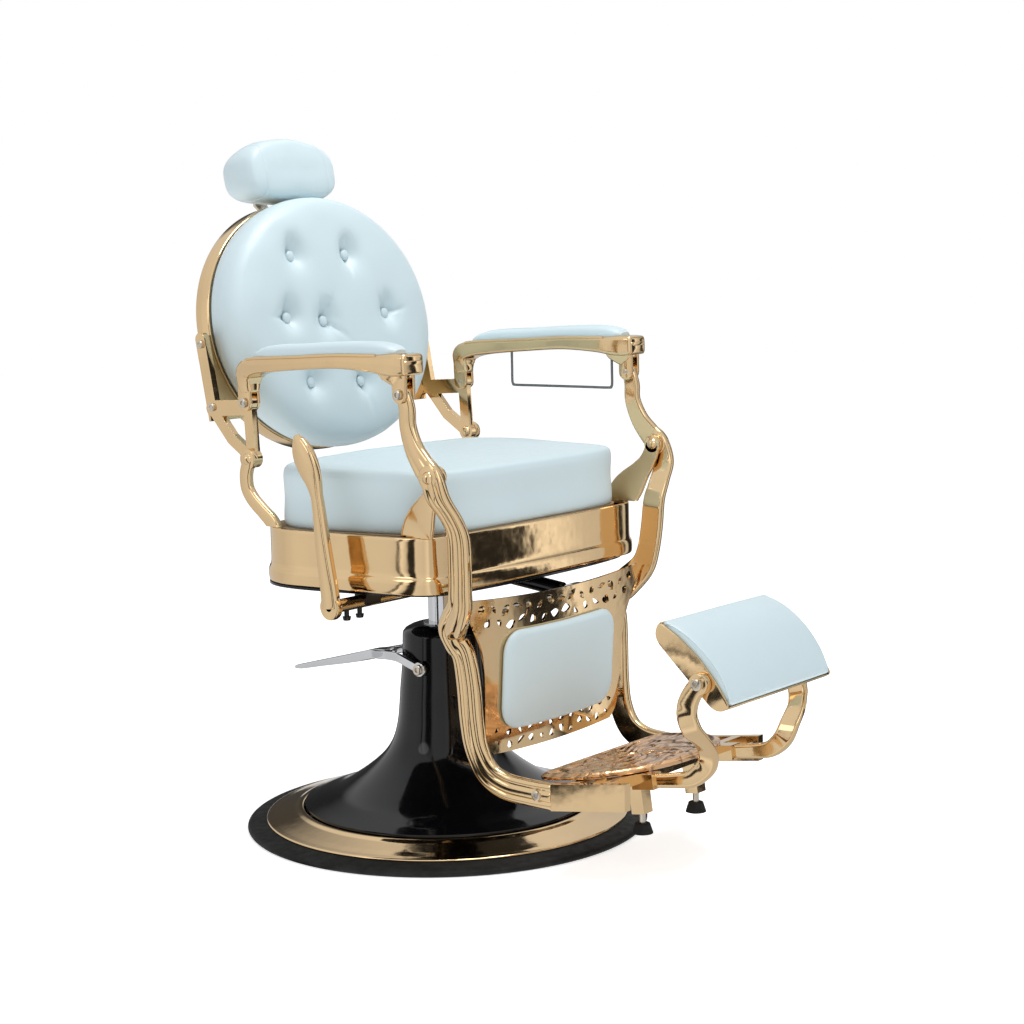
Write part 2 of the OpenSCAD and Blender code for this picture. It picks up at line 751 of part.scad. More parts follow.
module lever_tube_bolts() {
  color(black) for (x = tube_bolt_x) {
    difference() {
      translate([-x, lever_y, lever_z - tube_r - tube_bolt_len])
        cylinder(h = tube_bolt_len + 2 * cut, r = tube_bolt_r);
      x_rod(-tube_outer_x, -tube_inner_x, lever_y, lever_z, tube_r);
    }
    translate([-x, lever_y, lever_z - tube_r - tube_bolt_len - tube_bolt_head_h])
      cylinder(h = tube_bolt_head_h, r1 = tube_bolt_head_r * 0.8, r2 = tube_bolt_head_r);
  }
}

lever_t = 12;
lever_x = tube_outer_x + side_gap + lever_t / 2;
lever_h = 266;
lever_lean = 62;
lever_foot_r = 20;
// Shares of the lever's height, of its lean, of its width and of its thickness
lever_shares = [
  [0, 0, 1, 1], [0.1, 0.04, 0.95, 1], [0.35, 0.2, 0.8, 1], [0.6, 0.33, 0.62, 0.9], [0.7, 0.4, 0.55, 0.85],
  [0.78, 0.5, 0.72, 0.95], [0.86, 0.68, 1.0, 1.1], [0.93, 0.86, 0.92, 1], [0.98, 0.97, 0.6, 0.8],
    [1, 1, 0.3, 0.6]];
lever_w = 34;
ring_r = 10;
ring_t = 4;

module recline_lever() {
  color(gold) difference() {
    union() {
      right_side()
        bar([for (s = lever_shares)
          [lever_x, lever_y + lever_lean * s[1], lever_z + lever_h * s[0], lever_w * s[2],
            lever_t * s[3]]],
          2, 0.5);
      x_rod(-lever_x - lever_t / 2, -lever_x + lever_t / 2, lever_y, lever_z, lever_foot_r);
    }
    x_rod(-lever_x - lever_t, -lever_x + lever_t, lever_y, lever_z, shaft_r + slide_fit);
  }
}

module recline_shaft() {
  ring_x = side_gap - tube_inner_x;
  color(steel) {
    x_rod(-lever_x - lever_t / 2, ring_x + ring_t, lever_y, lever_z, shaft_r);
    x_rod(ring_x, ring_x + ring_t, lever_y, lever_z, ring_r);
  }
}

// Locking strut between the seat and the leg rest
cross_set = 38;
cross_drop_share = 0.476;
cross_y = front_y + cross_set;
cross_z = front_pivot_z - casting_drop * cross_drop_share;
cross_r = 8;
strut_run = norm([strut_seat_y - cross_y, strut_seat_z - cross_z]);
strut_angle = atan2(strut_seat_z - cross_z, strut_seat_y - cross_y);
strut_r = 13;
strut_neck_l = 22;
strut_neck_r = 9;
strut_len = 170;
strut_rod_r = 6;
strut_rod_len = 168;
strut_play = 4.6;
strut_eye_r = 17.5;

// Places children on the strut's line: +X runs from the seat pin towards the leg rest
module on_strut() {
  translate([strut_x, strut_seat_y, strut_seat_z])
    rotate([strut_angle, 0, 0])
      rotate([0, 0, -90]) children();
}

module strut_cylinder() {
  color(black) on_strut()
    difference() {
      union() {
        rotate([0, 90, 0]) {
          cylinder(h = strut_neck_l, r = strut_neck_r);
          translate([0, 0, strut_neck_l]) cylinder(h = strut_len - strut_neck_l, r = strut_r);
        }
        translate([0, strut_eye_w / 2, 0]) rotate([90, 0, 0])
          cylinder(h = strut_eye_w, r = strut_eye_r);
      }
      translate([0, strut_eye_w, 0]) rotate([90, 0, 0])
        cylinder(h = 2 * strut_eye_w, r = strut_pin_r + turn_fit);
      translate([strut_run - strut_rod_len - strut_play, 0, 0]) rotate([0, 90, 0])
        cylinder(h = strut_len, r = strut_rod_r + turn_fit);
    }
}

module strut_rod() {
  color(steel) on_strut()
    difference() {
      union() {
        translate([strut_run - strut_rod_len, 0, 0]) rotate([0, 90, 0])
          cylinder(h = strut_rod_len, r = strut_rod_r);
        translate([strut_run, strut_eye_w / 2, 0]) rotate([90, 0, 0])
          cylinder(h = strut_eye_w, r = strut_eye_r);
      }
      translate([strut_run, strut_eye_w, 0]) rotate([90, 0, 0])
        cylinder(h = 2 * strut_eye_w, r = cross_r + strut_play);
    }
}

// Side castings, from the arm pin down past the seat and knee to the foot rail
casting_spread = casting_top_w - casting_foot_w;
casting_w = 42;
casting_eye_r = 13;
casting_boss_r = 19;
casting_eye_t = 12;
rail_start_share = 0.487;
// Shares of the arm's rise and setback, and the width in millimetres, above the front pivot
upper_shares = [[1, 1, 0.62], [0.823, 0.89, 0.66], [0.6, 0.87, 0.68], [0.34, 0.64, 0.78],
  [0.137, 0.29, 0.92]];
// Shares of the spread, of the rail's reach, of the drop, and of the width, below the front pivot
lower_shares = [
  [1.05, 0, 0, 0.98], [1.035, 0.047, 0.066, 0.92], [0.84, 0.064, 0.126, 0.9], [0.69, 0.065, 0.186, 0.92],
  [0.645, 0.057, 0.276, 0.95], [0.6, 0.041, 0.356, 0.97], [0.53, 0.01, 0.416, 1.08],
    [0.41, -0.072, 0.47, 1.22],
  [0.31, -0.128, 0.508, 1.2], [0.21, -0.13, 0.544, 1.02], [0.155, -0.092, 0.586, 0.96],
    [0.11, -0.077, 0.676, 1],
  [0.085, -0.067, 0.796, 1], [0.065, -0.041, 0.886, 1], [0.04, 0.031, 0.958, 1.02],
    [0.015, 0.149, 0.992, 1.02],
  [0, 0.313, 1, 1], [0, rail_start_share, 1, 1]];

casting_stations = concat(
  [for (s = upper_shares)
    [part_way(casting_pivot_w, casting_top_w, min(1, 2 * s[0])), front_y + arm_front_set * s[1],
      front_pivot_z + arm_front_rise * s[0], casting_w * s[2],
        s[0] == 1 ? casting_eye_t : casting_t * 0.88]],
  [for (s = lower_shares)
    [casting_foot_w + casting_spread * s[0], front_y - rail_reach * s[1],
      front_pivot_z - casting_drop * s[2],
      casting_w * s[3], casting_t]]);

module side_casting() {
  color(gold) difference() {
    union() {
      bar(casting_stations, 2, 0.45);
      x_rod(casting_top_w - casting_eye_t / 2, casting_top_w + casting_eye_t / 2,
        arm_front_y, arm_front_z, casting_eye_r);
      x_rod(casting_pivot_w - pivot_boss_t / 2, casting_pivot_w + pivot_boss_t / 2,
        front_y, front_pivot_z, casting_boss_r);
    }
    x_through(casting_top_w, casting_t, arm_front_y, arm_front_z,
      arm_pin_r + slide_fit);
    x_rod(casting_top_w - casting_t, casting_top_w + 2 * casting_t, front_y, front_pivot_z,
      pivot_r + slide_fit);
    x_rod(0, cross_half, cross_y, cross_z, cross_r + slide_fit);
    x_rod(0, low_rod_half, low_rod_y, low_rod_z, cross_r + slide_fit);
    x_rod(0, 2 * casting_top_w, rail_screw_y, rail_screw_z, rail_screw_r + slide_fit);
  }
}

module side_casting_left() { side_casting(); }
module side_casting_right() { right_side() side_casting(); }

cross_half = casting_foot_w + casting_spread * 0.37;
low_rod_half = casting_foot_w + casting_spread * 0.1;
low_rod_set = 19;
low_rod_drop_share = 0.848;
low_rod_y = front_y + low_rod_set;
low_rod_z = front_pivot_z - casting_drop * low_rod_drop_share;
rod_set_in = 2;

module leg_cross_rods() {
  color(steel) {
    x_rod(rod_set_in - cross_half, cross_half - rod_set_in, cross_y, cross_z, cross_r);
    x_rod(rod_set_in - low_rod_half, low_rod_half - rod_set_in, low_rod_y, low_rod_z, cross_r);
  }
}

// Calf panel: a gently bulging sheet with leaf-shaped holes, hung on the cross rods
panel_drop_share = 0.908;
panel_bottom = front_pivot_z - casting_drop * panel_drop_share;
panel_set = 3;
panel_edge_y = front_y + panel_set;
panel_lean = 4;
panel_turn_share = 0.66;
panel_turn_z = front_pivot_z - casting_drop * panel_turn_share;
panel_t = 4;
panel_droop = 9;
// Shares of the panel's height and of the casting spread beyond its foot, up one side of the panel
panel_shares = [
  [0, -0.3], [0.05, -0.16], [0.13, -0.09], [0.3, -0.06], [0.5, -0.03], [0.64, 0.02],
  [0.72, 0.09], [0.8, 0.2], [0.88, 0.31], [0.95, 0.37], [1, 0.36]];
panel_half = [for (s = smooth_path(panel_shares, 2))
  [casting_foot_w + casting_spread * s[1], panel_bottom + calf_panel_h * s[0]]];
bulge_half = casting_foot_w + casting_spread * 0.37;
bulge_r = (bulge_half * bulge_half + calf_bulge * calf_bulge) / (2 * calf_bulge);
calf_pad_drop_share = 0.676;
calf_pad_z = front_pivot_z - casting_drop * calf_pad_drop_share;
pad_corner_r = 28;
edge_steps = 8;

// Points of the panel's drooping upper or lower edge, between its ends at +w and -w
function drooping_edge(w, z) = [for (i = [1 : edge_steps - 1]) let (x = part_way(w, -w, i / edge_steps))
  [x, z - panel_droop * (1 - x * x / w / w)]];

panel_line = let (last = len(panel_half) - 1) concat(
  panel_half,
  drooping_edge(panel_half[last][0], panel_half[last][1]),
  [for (i = [last : -1 : 0]) [-panel_half[i][0], panel_half[i][1]]],
  drooping_edge(-panel_half[0][0], panel_half[0][1]));

// Leans children with the panel, about a line across the chair
module on_panel() {
  translate([0, panel_edge_y, panel_turn_z])
    rotate([panel_lean, 0, 0])
      translate([0, -panel_edge_y, -panel_turn_z]) children();
}

// The sheet between two bulging faces, from depth a to depth b behind the panel's own face
module bulge_space(a, b) {
  translate([0, panel_edge_y - calf_bulge + bulge_r, 0])
    difference() {
      cylinder(h = 2 * front_pivot_z, r = bulge_r - a, $fn = 4 * round_fn, center = true);
      cylinder(h = 3 * front_pivot_z, r = bulge_r - b, $fn = 4 * round_fn, center = true);
    }
}

leaf_l = 13;
leaf_w = 5;
leaf_turn = 38;
leaf_fn = 10;
rod_lug_x = 138;
rod_lug_w = 22;
rod_lug_r = 14;

// A row of leaves, each turned the other way from its neighbours
module leaf_row(count, half_w, z) {
  for (i = [0 : count - 1]) {
    x = part_way(-half_w, half_w, i / (count - 1));
    translate([x, z - panel_droop * (1 - x * x / bulge_half / bulge_half)])
      rotate(i % 2 == 0 ? leaf_turn : -leaf_turn) polygon(ellipse(leaf_l, leaf_w, leaf_fn));
  }
}

module rod_lug(y, z) {
  reach = y - panel_edge_y + calf_bulge;
  for (x = [-rod_lug_x, rod_lug_x])
    translate([x - rod_lug_w / 2, 0, 0])
      difference() {
        union() {
          x_rod(0, rod_lug_w, y, z, rod_lug_r);
          translate([0, y - reach, z - rod_lug_r / 2]) cube([rod_lug_w, reach, rod_lug_r]);
        }
        x_rod(-cut, rod_lug_w + cut, y, z, cross_r + slide_fit);
      }
}

module calf_panel() {
  color(gold) {
    on_panel()
      intersection() {
        bulge_space(0, panel_t);
        translate([0, panel_edge_y + calf_bulge, 0])
          rotate([90, 0, 0])
            linear_extrude(4 * calf_bulge)
              difference() {
                polygon(panel_line);
                leaf_row(13, bulge_half * 0.84, panel_bottom + calf_panel_h * 0.93);
                leaf_row(12, bulge_half * 0.72, panel_bottom + calf_panel_h * 0.84);
                leaf_row(10, bulge_half * 0.6, panel_bottom + calf_panel_h * 0.09);
              }
      }
    difference() {
      union() {
        rod_lug(cross_y, cross_z);
        rod_lug(low_rod_y, low_rod_z);
      }
      on_panel()
        translate([0, panel_edge_y - calf_bulge + bulge_r, 0])
          difference() {
            cylinder(h = 3 * front_pivot_z, r = 2 * bulge_r, $fn = round_fn, center = true);
            cylinder(h = 4 * front_pivot_z, r = bulge_r - panel_t / 2, $fn = 4 * round_fn, center = true);
          }
    }
  }
}

pad_out = 14;
// Shares of the pad's half size and of its thickness, from the back face round the edge to the crown
calf_ring_shares = [[0.15, 0], [0.5, 0], [0.8, 0], [0.97, 0], [1, 0.25], [1, 0.55], [0.975, 0.82],
  [0.93, 0.95], [0.7, 1.05], [0.4, 1.1], [0.12, 1.12]];

// How far back the bulging face lies at x
function bulge_y(x) = panel_edge_y - calf_bulge + bulge_r - sqrt(bulge_r * bulge_r - x * x);

module calf_pad() {
  ring = dense(rounded_box(calf_pad_half_w, calf_pad_h / 2, pad_corner_r, 5), pad_corner_r);
  color(blue) on_panel()
    skin([for (s = calf_ring_shares) [for (q = ring) let (x = q[0] * s[0])
      [x, bulge_y(x) - seat_gap - pad_out * s[1],
        calf_pad_z + q[1] * s[0] - panel_droop * (1 - x * x / bulge_half / bulge_half)]]]);
}

// Foot rails, plate frame, plate, studs and rubber feet
rail_start_y = front_y - rail_reach * rail_start_share;
rail_end_y = front_y - rail_reach;
rail_t = casting_t;
rail_rise = (rail_start_y - rail_end_y) * tan(foot_tilt);
rail_tongue_t = 8;
rail_tongue_l = 40;
rail_screw_r = 5;
rail_screw_set = 26;
rail_screw_y = rail_start_y + rail_screw_set;
rail_screw_z = foot_z;
screw_head_r = 8;
screw_head_t = 4;

module foot_rail() {
  color(gold) difference() {
    union() {
      yz_plate(casting_foot_w, rail_t)
        polygon([
          [rail_start_y - 2 * seat_gap, foot_z - rail_h / 2],
          [rail_start_y - 2 * seat_gap, foot_z + rail_h / 2],
          [rail_end_y, foot_z + rail_h / 2 + rail_rise], [rail_end_y, foot_z - rail_h / 2 + rail_rise]]);
      for (part = [[rail_tongue_l, -seat_gap], [0, seat_gap]])
        translate([casting_foot_w - rail_t / 2 - rail_tongue_t, rail_start_y - rail_tongue_l / 2,
          foot_z - rail_h / 3])
          cube([rail_tongue_t + part[1], rail_tongue_l / 2 + part[0], rail_h * 2 / 3]);
    }
    x_rod(0, 2 * casting_foot_w, rail_screw_y, rail_screw_z, rail_screw_r + slide_fit);
  }
}

module foot_rail_left() { foot_rail(); }
module foot_rail_right() { right_side() foot_rail(); }

// The foot rest's own tilted frame: y runs forward and up from the rear edge of the plate
foot_plate_set = 85;
foot_plate_gap = 3;
foot_plate_rear_y = front_y - foot_plate_set;
foot_plate_rear_z = foot_z + rail_h / 2 + foot_plate_gap;

module on_foot_rest() {
  translate([0, foot_plate_rear_y, foot_plate_rear_z])
    rotate([-foot_tilt, 0, 0]) children();
}

bar_w = 18;
bar_h = 16;
bar_half = casting_foot_w - rail_t / 2;
rear_bar_y = -86;
front_bar_y = -150;
s_arm_low_w = 111;
socket_w = 26;
socket_l = 40;
socket_h = 24;
stud_x = 75;
stud_y = -127;
stud_block = 24;
stud_block_h = 71;
stud_r = 5;
stud_len = 16;
bumper_r = 17;
bumper_h = 16;
bar_drop = foot_plate_t + bar_h;

module stud_carriers() {
  on_foot_rest()
    both_sides()
      translate([stud_x - stud_block / 2, 0, -foot_plate_t]) {
        translate([0, front_bar_y, -bar_h])
          cube([stud_block, stud_y - front_bar_y + stud_block / 2, bar_h]);
        translate([0, stud_y - stud_block / 2, -stud_block_h]) cube([stud_block, stud_block, stud_block_h]);
      }
}

module foot_plate_frame() {
  color(gold) difference() {
    union() {
      stud_carriers();
      on_foot_rest() {
        for (y = [rear_bar_y, front_bar_y])
          translate([-bar_half, y - bar_w / 2, -bar_drop]) cube([2 * bar_half, bar_w, bar_h]);
        both_sides()
          translate([s_arm_low_w - socket_w / 2, front_bar_y - socket_l, -foot_plate_t - socket_h])
            cube([socket_w, socket_l, socket_h]);
      }
    }
    both_sides() s_arm_bar();
  }
}

// Shares of the plate's half width and depth, round one side from the rear middle to the front
plate_shares = [
  [0, 0], [0.4, -0.005], [0.75, -0.04], [0.93, -0.16], [1, -0.34], [0.97, -0.52], [0.84, -0.7],
    [0.62, -0.85],
  [0.33, -0.96], [0, -1]];
plate_last = len(plate_shares) - 1;
function plate_place(s, side) = [side * foot_plate_half_w * s[0], foot_plate_depth * s[1]];
plate_line = smooth_loop(concat(
  [for (i = [plate_last : -1 : 0]) plate_place(plate_shares[i], 1)],
  [for (i = [1 : plate_last - 1]) plate_place(plate_shares[i], -1)]), fine_steps);

module foot_plate() {
  color(rose) on_foot_rest()
    translate([0, 0, -foot_plate_t]) linear_extrude(foot_plate_t) polygon(plate_line);
}

module on_studs() {
  on_foot_rest()
    both_sides()
      translate([stud_x, stud_y, -foot_plate_t - stud_block_h])
        rotate([foot_tilt, 0, 0]) children();
}

module bumper_feet() {
  color(rubber) on_studs()
    translate([0, 0, -stud_len - bumper_h])
      cylinder(h = bumper_h, r1 = bumper_r, r2 = bumper_r * 0.7);
}

// S-shaped arms from the foot rest up to the flip pad's pins
s_arm_t = 13;
s_arm_top_w = flip_half_len + side_gap + s_arm_t / 2 + 1;
s_arm_w = 33;
s_low_y = foot_plate_rear_y + (front_bar_y - socket_l) * cos(foot_tilt);
s_low_z = foot_plate_rear_z - (front_bar_y - socket_l) * sin(foot_tilt) - foot_plate_t - socket_h / 2;
s_drop = flip_pin_z - s_low_z;
s_reach = s_low_y - flip_pin_y;
// Shares of the inward bend, of the reach back from the pins, of the drop, and of the width
s_arm_shares = [
  [0, 0, 0, 0.85], [0, 0.11, 0.09, 0.9], [0, 0.19, 0.2, 0.97], [0, 0.2, 0.31, 1], [0.1, 0.15, 0.43, 1],
  [0.46, 0.1, 0.54, 1], [0.85, 0.105, 0.66, 0.98], [1, 0.15, 0.77, 0.96], [1, 0.26, 0.86, 0.9],
  [1, 0.42, 0.93, 0.8], [1, 0.7, 0.97, 0.7], [1, 1, 1, 0.66]];
flip_pin_r = 6;
pin_head = 9;

module s_arm_bar() {
  bar([for (s = s_arm_shares)
    [part_way(s_arm_top_w, s_arm_low_w, s[0]), flip_pin_y + s_reach * s[1], flip_pin_z - s_drop * s[2],
      s_arm_w * s[3], s_arm_t]], 3, 0.4);
}

module s_arm() {
  color(gold) difference() {
    union() {
      s_arm_bar();
      x_rod(s_arm_top_w - s_arm_t / 2, s_arm_top_w + s_arm_t / 2, flip_pin_y, flip_pin_z, s_arm_w / 2);
    }
    x_through(s_arm_top_w, s_arm_t, flip_pin_y, flip_pin_z, flip_pin_r + slide_fit);
  }
}

module s_arm_left() { s_arm(); }
module s_arm_right() { right_side() s_arm(); }

// The rail screws, the flip pad's pins and the bumpers' studs
module foot_rest_pins() {
  rail_face = casting_foot_w + rail_t / 2;
  arm_face = s_arm_top_w + s_arm_t / 2;
  color(steel) both_sides() {
    x_rod(rail_face - rail_t - rail_tongue_t, rail_face, rail_screw_y, rail_screw_z, rail_screw_r);
    x_rod(rail_face, rail_face + screw_head_t, rail_screw_y, rail_screw_z, screw_head_r);
    x_rod(flip_half_len - flip_end_t, arm_face, flip_pin_y, flip_pin_z, flip_pin_r);
    x_rod(arm_face, arm_face + screw_head_t, flip_pin_y, flip_pin_z, pin_head);
  }
  color(steel) difference() {
    on_studs() translate([0, 0, -stud_len]) cylinder(h = stud_len + stud_r, r = stud_r);
    stud_carriers();
  }
}

arm_cheek_t = 6;
arm_cheek_gap = casting_eye_t / 2 + side_gap;

module arm_front_pins() {
  color(steel) both_sides() {
    x_rod(casting_top_w - arm_cheek_gap - arm_cheek_t,
      casting_top_w + arm_cheek_gap + arm_cheek_t + side_gap,
      arm_front_y, arm_front_z, arm_pin_r);
    x_rod(casting_top_w + arm_cheek_gap + arm_cheek_t + side_gap,
      casting_top_w + arm_cheek_gap + arm_cheek_t + side_gap + screw_head_t,
      arm_front_y, arm_front_z, screw_head_r);
  }
}

module arm_rear_pins() {
  color(steel) both_sides() {
    x_rod(back_frame_x - back_cheek_gap - arm_cheek_t,
      back_frame_x + back_cheek_gap + arm_cheek_t + side_gap,
      arm_rear_y, arm_rear_z, arm_pin_r);
    x_rod(back_frame_x + back_cheek_gap + arm_cheek_t + side_gap,
      back_frame_x + back_cheek_gap + arm_cheek_t + side_gap + screw_head_t,
      arm_rear_y, arm_rear_z, screw_head_r);
  }
}

// Flip pad: its own frame has x across, u along the width and v out of the face, with the pin at the origin
flip_angle = 43.3;
flip_pin_share = 0.67;
flip_pin_depth = 9;
flip_end_t = 4;
shell_depth = 26;
shell_t = 3;
shell_lip = 2;

module on_flip_pad() {
  translate([0, flip_pin_y, flip_pin_z])
    rotate([flip_angle, 0, 0])
      translate([0, flip_w * flip_pin_share, flip_pin_depth]) children();
}

// The shell's section as [u, v]: u runs back along the pad from its rear-top edge at 0 to -flip_w
flip_section = [
  [0, -shell_lip], [-flip_w * 0.04, -shell_depth * 0.75], [-flip_w * 0.12, -shell_depth],
    [-flip_w * 0.88, -shell_depth],
  [-flip_w * 0.96, -shell_depth * 0.75], [-flip_w, -shell_lip], [-flip_w * 0.93, flip_bulge * 0.1],
  [-flip_w * 0.75, flip_bulge * 0.38], [-flip_w * 0.5, flip_bulge * 0.52],
    [-flip_w * 0.25, flip_bulge * 0.38],
  [-flip_w * 0.07, flip_bulge * 0.1]];
flip_inner = [
  [-shell_t, flip_bulge], [-shell_t, -shell_lip], [-flip_w * 0.04 - shell_t, -shell_depth * 0.75 + shell_t],
  [-flip_w * 0.12 - shell_t, -shell_depth + shell_t], [-flip_w * 0.88 + shell_t, -shell_depth + shell_t],
  [-flip_w * 0.96 + shell_t, -shell_depth * 0.75 + shell_t], [shell_t - flip_w, -shell_lip],
    [shell_t - flip_w, flip_bulge]];

module flip_pad_shell() {
  color(gold) difference() {
    on_flip_pad()
      difference() {
        yz_plate(0, 2 * flip_half_len) polygon(flip_section);
        yz_plate(0, 2 * (flip_half_len - flip_end_t)) polygon(flip_inner);
      }
    both_sides()
      x_rod(flip_half_len - 2 * flip_end_t, flip_half_len + cut, flip_pin_y, flip_pin_z,
        flip_pin_r + slide_fit);
  }
}

// Shares of the pad's width, and of the bulge above the edge line, across its section
flip_pad_shares = [
  [-0.95, -0.5], [-0.98, 0.05], [-0.93, 0.35], [-0.8, 0.72], [-0.65, 0.93], [-0.5, 1], [-0.35, 0.93],
  [-0.2, 0.72], [-0.07, 0.35], [-0.02, 0.05], [-0.05, -0.5]];
flip_end_shares = [
  [1, 0.8], [0.99, 0.93], [0.96, 1], [0.6, 1.02], [0, 1.03], [-0.6, 1.02], [-0.96, 1], [-0.99, 0.93],
    [-1, 0.8]];
flip_pad_half = flip_half_len - flip_end_t - seat_gap;

module flip_pad_cushion() {
  section = smooth_path(flip_pad_shares, 2);
  floor_v = -shell_depth + shell_t + seat_gap;
  color(blue) on_flip_pad()
    skin([for (e = flip_end_shares) concat(
      [for (s = section) [flip_pad_half * e[0], flip_w * part_way(-0.5, s[0], min(e[1],
        1)), flip_bulge * s[1] * e[1]]],
      [[flip_pad_half * e[0], -flip_w * 0.14, floor_v], [flip_pad_half * e[0],
        -flip_w * 0.86, floor_v]])]);
}

// Back: side frames, hoop, board, pad, buttons and screws, in the back's own leaning frame
module on_back() {
  translate([0, hoop_y, hoop_z]) rotate([-back_tilt, 0, 0]) children();
}

strap_w = 22;
strap_screw_r = 7;
strap_screw_sets = [[-2, -8], [-2, 2]];
frame_bar_w = 20;
strap_top_set = [106, 102];
strap_low_set = [84, -12];
strap_top = [arm_rear_y, arm_rear_z] + strap_top_set;
strap_low = [arm_rear_y, arm_rear_z] + strap_low_set;
web_t = 5;
hoop_wall = 5;
frame_eye_r = 13;
back_boss_r = 15;
back_cheek_gap = back_frame_t / 2 + side_gap;

// Half the hoop's outer width at height z in the back's frame
function hoop_half(z) = back_half_w * sqrt(max(0, 1 - pow(z / back_half_h, 2)));

web_top = -6;
web_low = -150;
web_steps = 12;
web_y = -hoop_d + web_t;

module back_frame() {
  pivot = [rear_pivot_y, rear_pivot_z];
  pin = [arm_rear_y, arm_rear_z];
  low_corner = pivot + frame_bar_w * [2.35, 1.55];
  color(gold) difference() {
    union() {
      yz_plate(back_frame_x, back_frame_t) {
        link(pivot, pin, frame_bar_w);
        link(pin + frame_bar_w * [0.1, -0.4], strap_low, frame_bar_w * 1.3);
        link(pivot, low_corner, frame_bar_w);
        link(low_corner, strap_low, frame_bar_w);
        link(strap_low, strap_top, strap_w);
        translate(pivot) circle(r = back_boss_r);
        translate(pin) circle(r = frame_eye_r);
      }
      on_back()
        translate([0, web_y, 0])
          rotate([90, 0, 0])
            linear_extrude(web_t)
              polygon(concat(
                [[back_frame_x, web_low], [back_frame_x, web_top]],
                [for (i = [0 : web_steps]) let (z = part_way(web_top, web_low, i / web_steps))
                  [hoop_half(z) - hoop_wall / 2, z]]));
    }
    x_through(back_frame_x, back_frame_t, rear_pivot_y, rear_pivot_z,
      pivot_r + slide_fit);
    x_through(back_frame_x, back_frame_t, arm_rear_y, arm_rear_z,
      arm_pin_r + slide_fit);
    on_back()
      rotate([90, 0, 0])
        translate([0, 0, -cut])
          linear_extrude(hoop_d + 2 * cut) polygon(ellipse(back_half_w, back_half_h, round_fn));
  }
}

module back_frame_left() { back_frame(); }
module back_frame_right() { right_side() back_frame(); }

module back_hoop() {
  color(gold) on_back()
    rotate([90, 0, 0])
      difference() {
        linear_extrude(hoop_d) polygon(ellipse(back_half_w, back_half_h, round_fn));
        translate([0, 0, -cut])
          linear_extrude(hoop_d + 2 * cut)
            polygon(ellipse(back_half_w - hoop_wall, back_half_h - hoop_wall, round_fn));
      }
}

back_board_t = 10;
back_board_set = 4;

module back_board() {
  color(blue) on_back()
    translate([0, -back_board_set, 0])
      rotate([90, 0, 0])
        linear_extrude(back_board_t)
          polygon(ellipse(back_half_w - hoop_wall - seat_gap / 3,
            back_half_h - hoop_wall - seat_gap / 3,
            round_fn));
}

// The pad is a dome of rings with soft dimples at the buttons
pad_gap = 2;
pad_inset = hoop_wall + pad_gap;
pad_back = back_board_set + back_board_t + seat_gap;
pad_steps = 56;
pad_roll = 10;
pad_face = back_pad_d - pad_roll;
tuft_depth = 13;
tuft_spread = 34;
button_r = 9;
button_t = 5;
// Shares of the pad's half size and of its depth, from the board round the bulging edge to the middle
pad_ring_shares = [
  [0.985, 0], [0.985, 0.2], [1.02, 0.26], [1.035, 0.5], [1.035, 0.75], [1.02, 0.88], [0.98, 0.97],
    [0.9, 1.005],
  [0.76, 1.025], [0.64, 1.04], [0.52, 1.055], [0.4, 1.07], [0.28, 1.08], [0.16, 1.085], [0.05, 1.09]];
// Button places as shares of the back's half width and half height
button_shares = [
  [-0.38, 0.522], [0.168, 0.52], [-0.52, 0.034], [-0.172, -0.01], [0.492, 0.03], [-0.376, -0.488],
    [0.127, -0.513]];
button_places = [for (s = button_shares) [back_half_w * s[0], back_half_h * s[1]]];

// Depth of the dimples at a place on the face
function dimple(x, z) = max([for (b = button_places) tuft_depth * exp(-pow(norm([x - b[0],
  z - b[1]]) / tuft_spread, 2) * 2)]);

// Depth of the pad's face in front of the hoop's rear edge, away from the dimples
function face_depth(k) = part_way(pad_back, pad_face, k);

// Places children at each button, on the floor of its tuft
module at_buttons() {
  on_back()
    rotate([90, 0, 0])
      for (s = button_shares)
        translate([back_half_w * s[0], back_half_h * s[1], dome(norm(s)) - tuft_depth]) children();
}

module back_pad() {
  a = back_half_w - pad_inset;
  b = back_half_h - pad_inset;
  color(blue) difference() {
    on_back()
      rotate([90, 0, 0])
        skin([for (s = pad_ring_shares) [for (q = ellipse(a * s[0], b * s[0], pad_steps))
          [q[0], q[1], face_depth(s[1]) - (s[1] > 0.9 ? dimple(q[0], q[1]) : 0)]]]);
    at_buttons() cylinder(h = 2 * tuft_depth, r = button_r + seat_gap);
  }
}

// Height of the pad's undimpled face at radius share s
function dome(s) = face_depth(lookup(s, [[0, 1.09], [0.28, 1.08], [0.52, 1.055], [0.76, 1.02]]));

module back_buttons() {
  color(blue) at_buttons() {
    cylinder(h = button_t / 2, r = button_r);
    translate([0, 0, button_t / 2])
      cylinder(h = button_t / 2, r1 = button_r, r2 = button_r * 0.6);
  }
}

module back_screws() {
  color(steel) both_sides()
    for (p = [strap_top + strap_screw_sets[0], strap_low + strap_screw_sets[1]])
      x_rod(back_frame_x + back_frame_t / 2, back_frame_x + back_frame_t / 2 + screw_head_t, p[0], p[1],
        strap_screw_r);
}

// Headrest: socket on the board, flat bar and pad
bar_t = 6;
socket_low = 40;
socket_high = 150;
socket_wall = 5;
bar_gap = 2;

module headrest_socket() {
  color(steel) on_back()
    difference() {
      translate([-headrest_bar_w / 2 - socket_wall, -back_board_set, socket_low])
        cube([headrest_bar_w + 2 * socket_wall, back_board_set + bar_gap + bar_t + socket_wall,
          socket_high - socket_low]);
      translate([-headrest_bar_w / 2 - slide_fit, bar_gap - slide_fit, socket_low - cut])
        cube([headrest_bar_w + 2 * slide_fit, bar_t + 2 * slide_fit, socket_high]);
    }
}

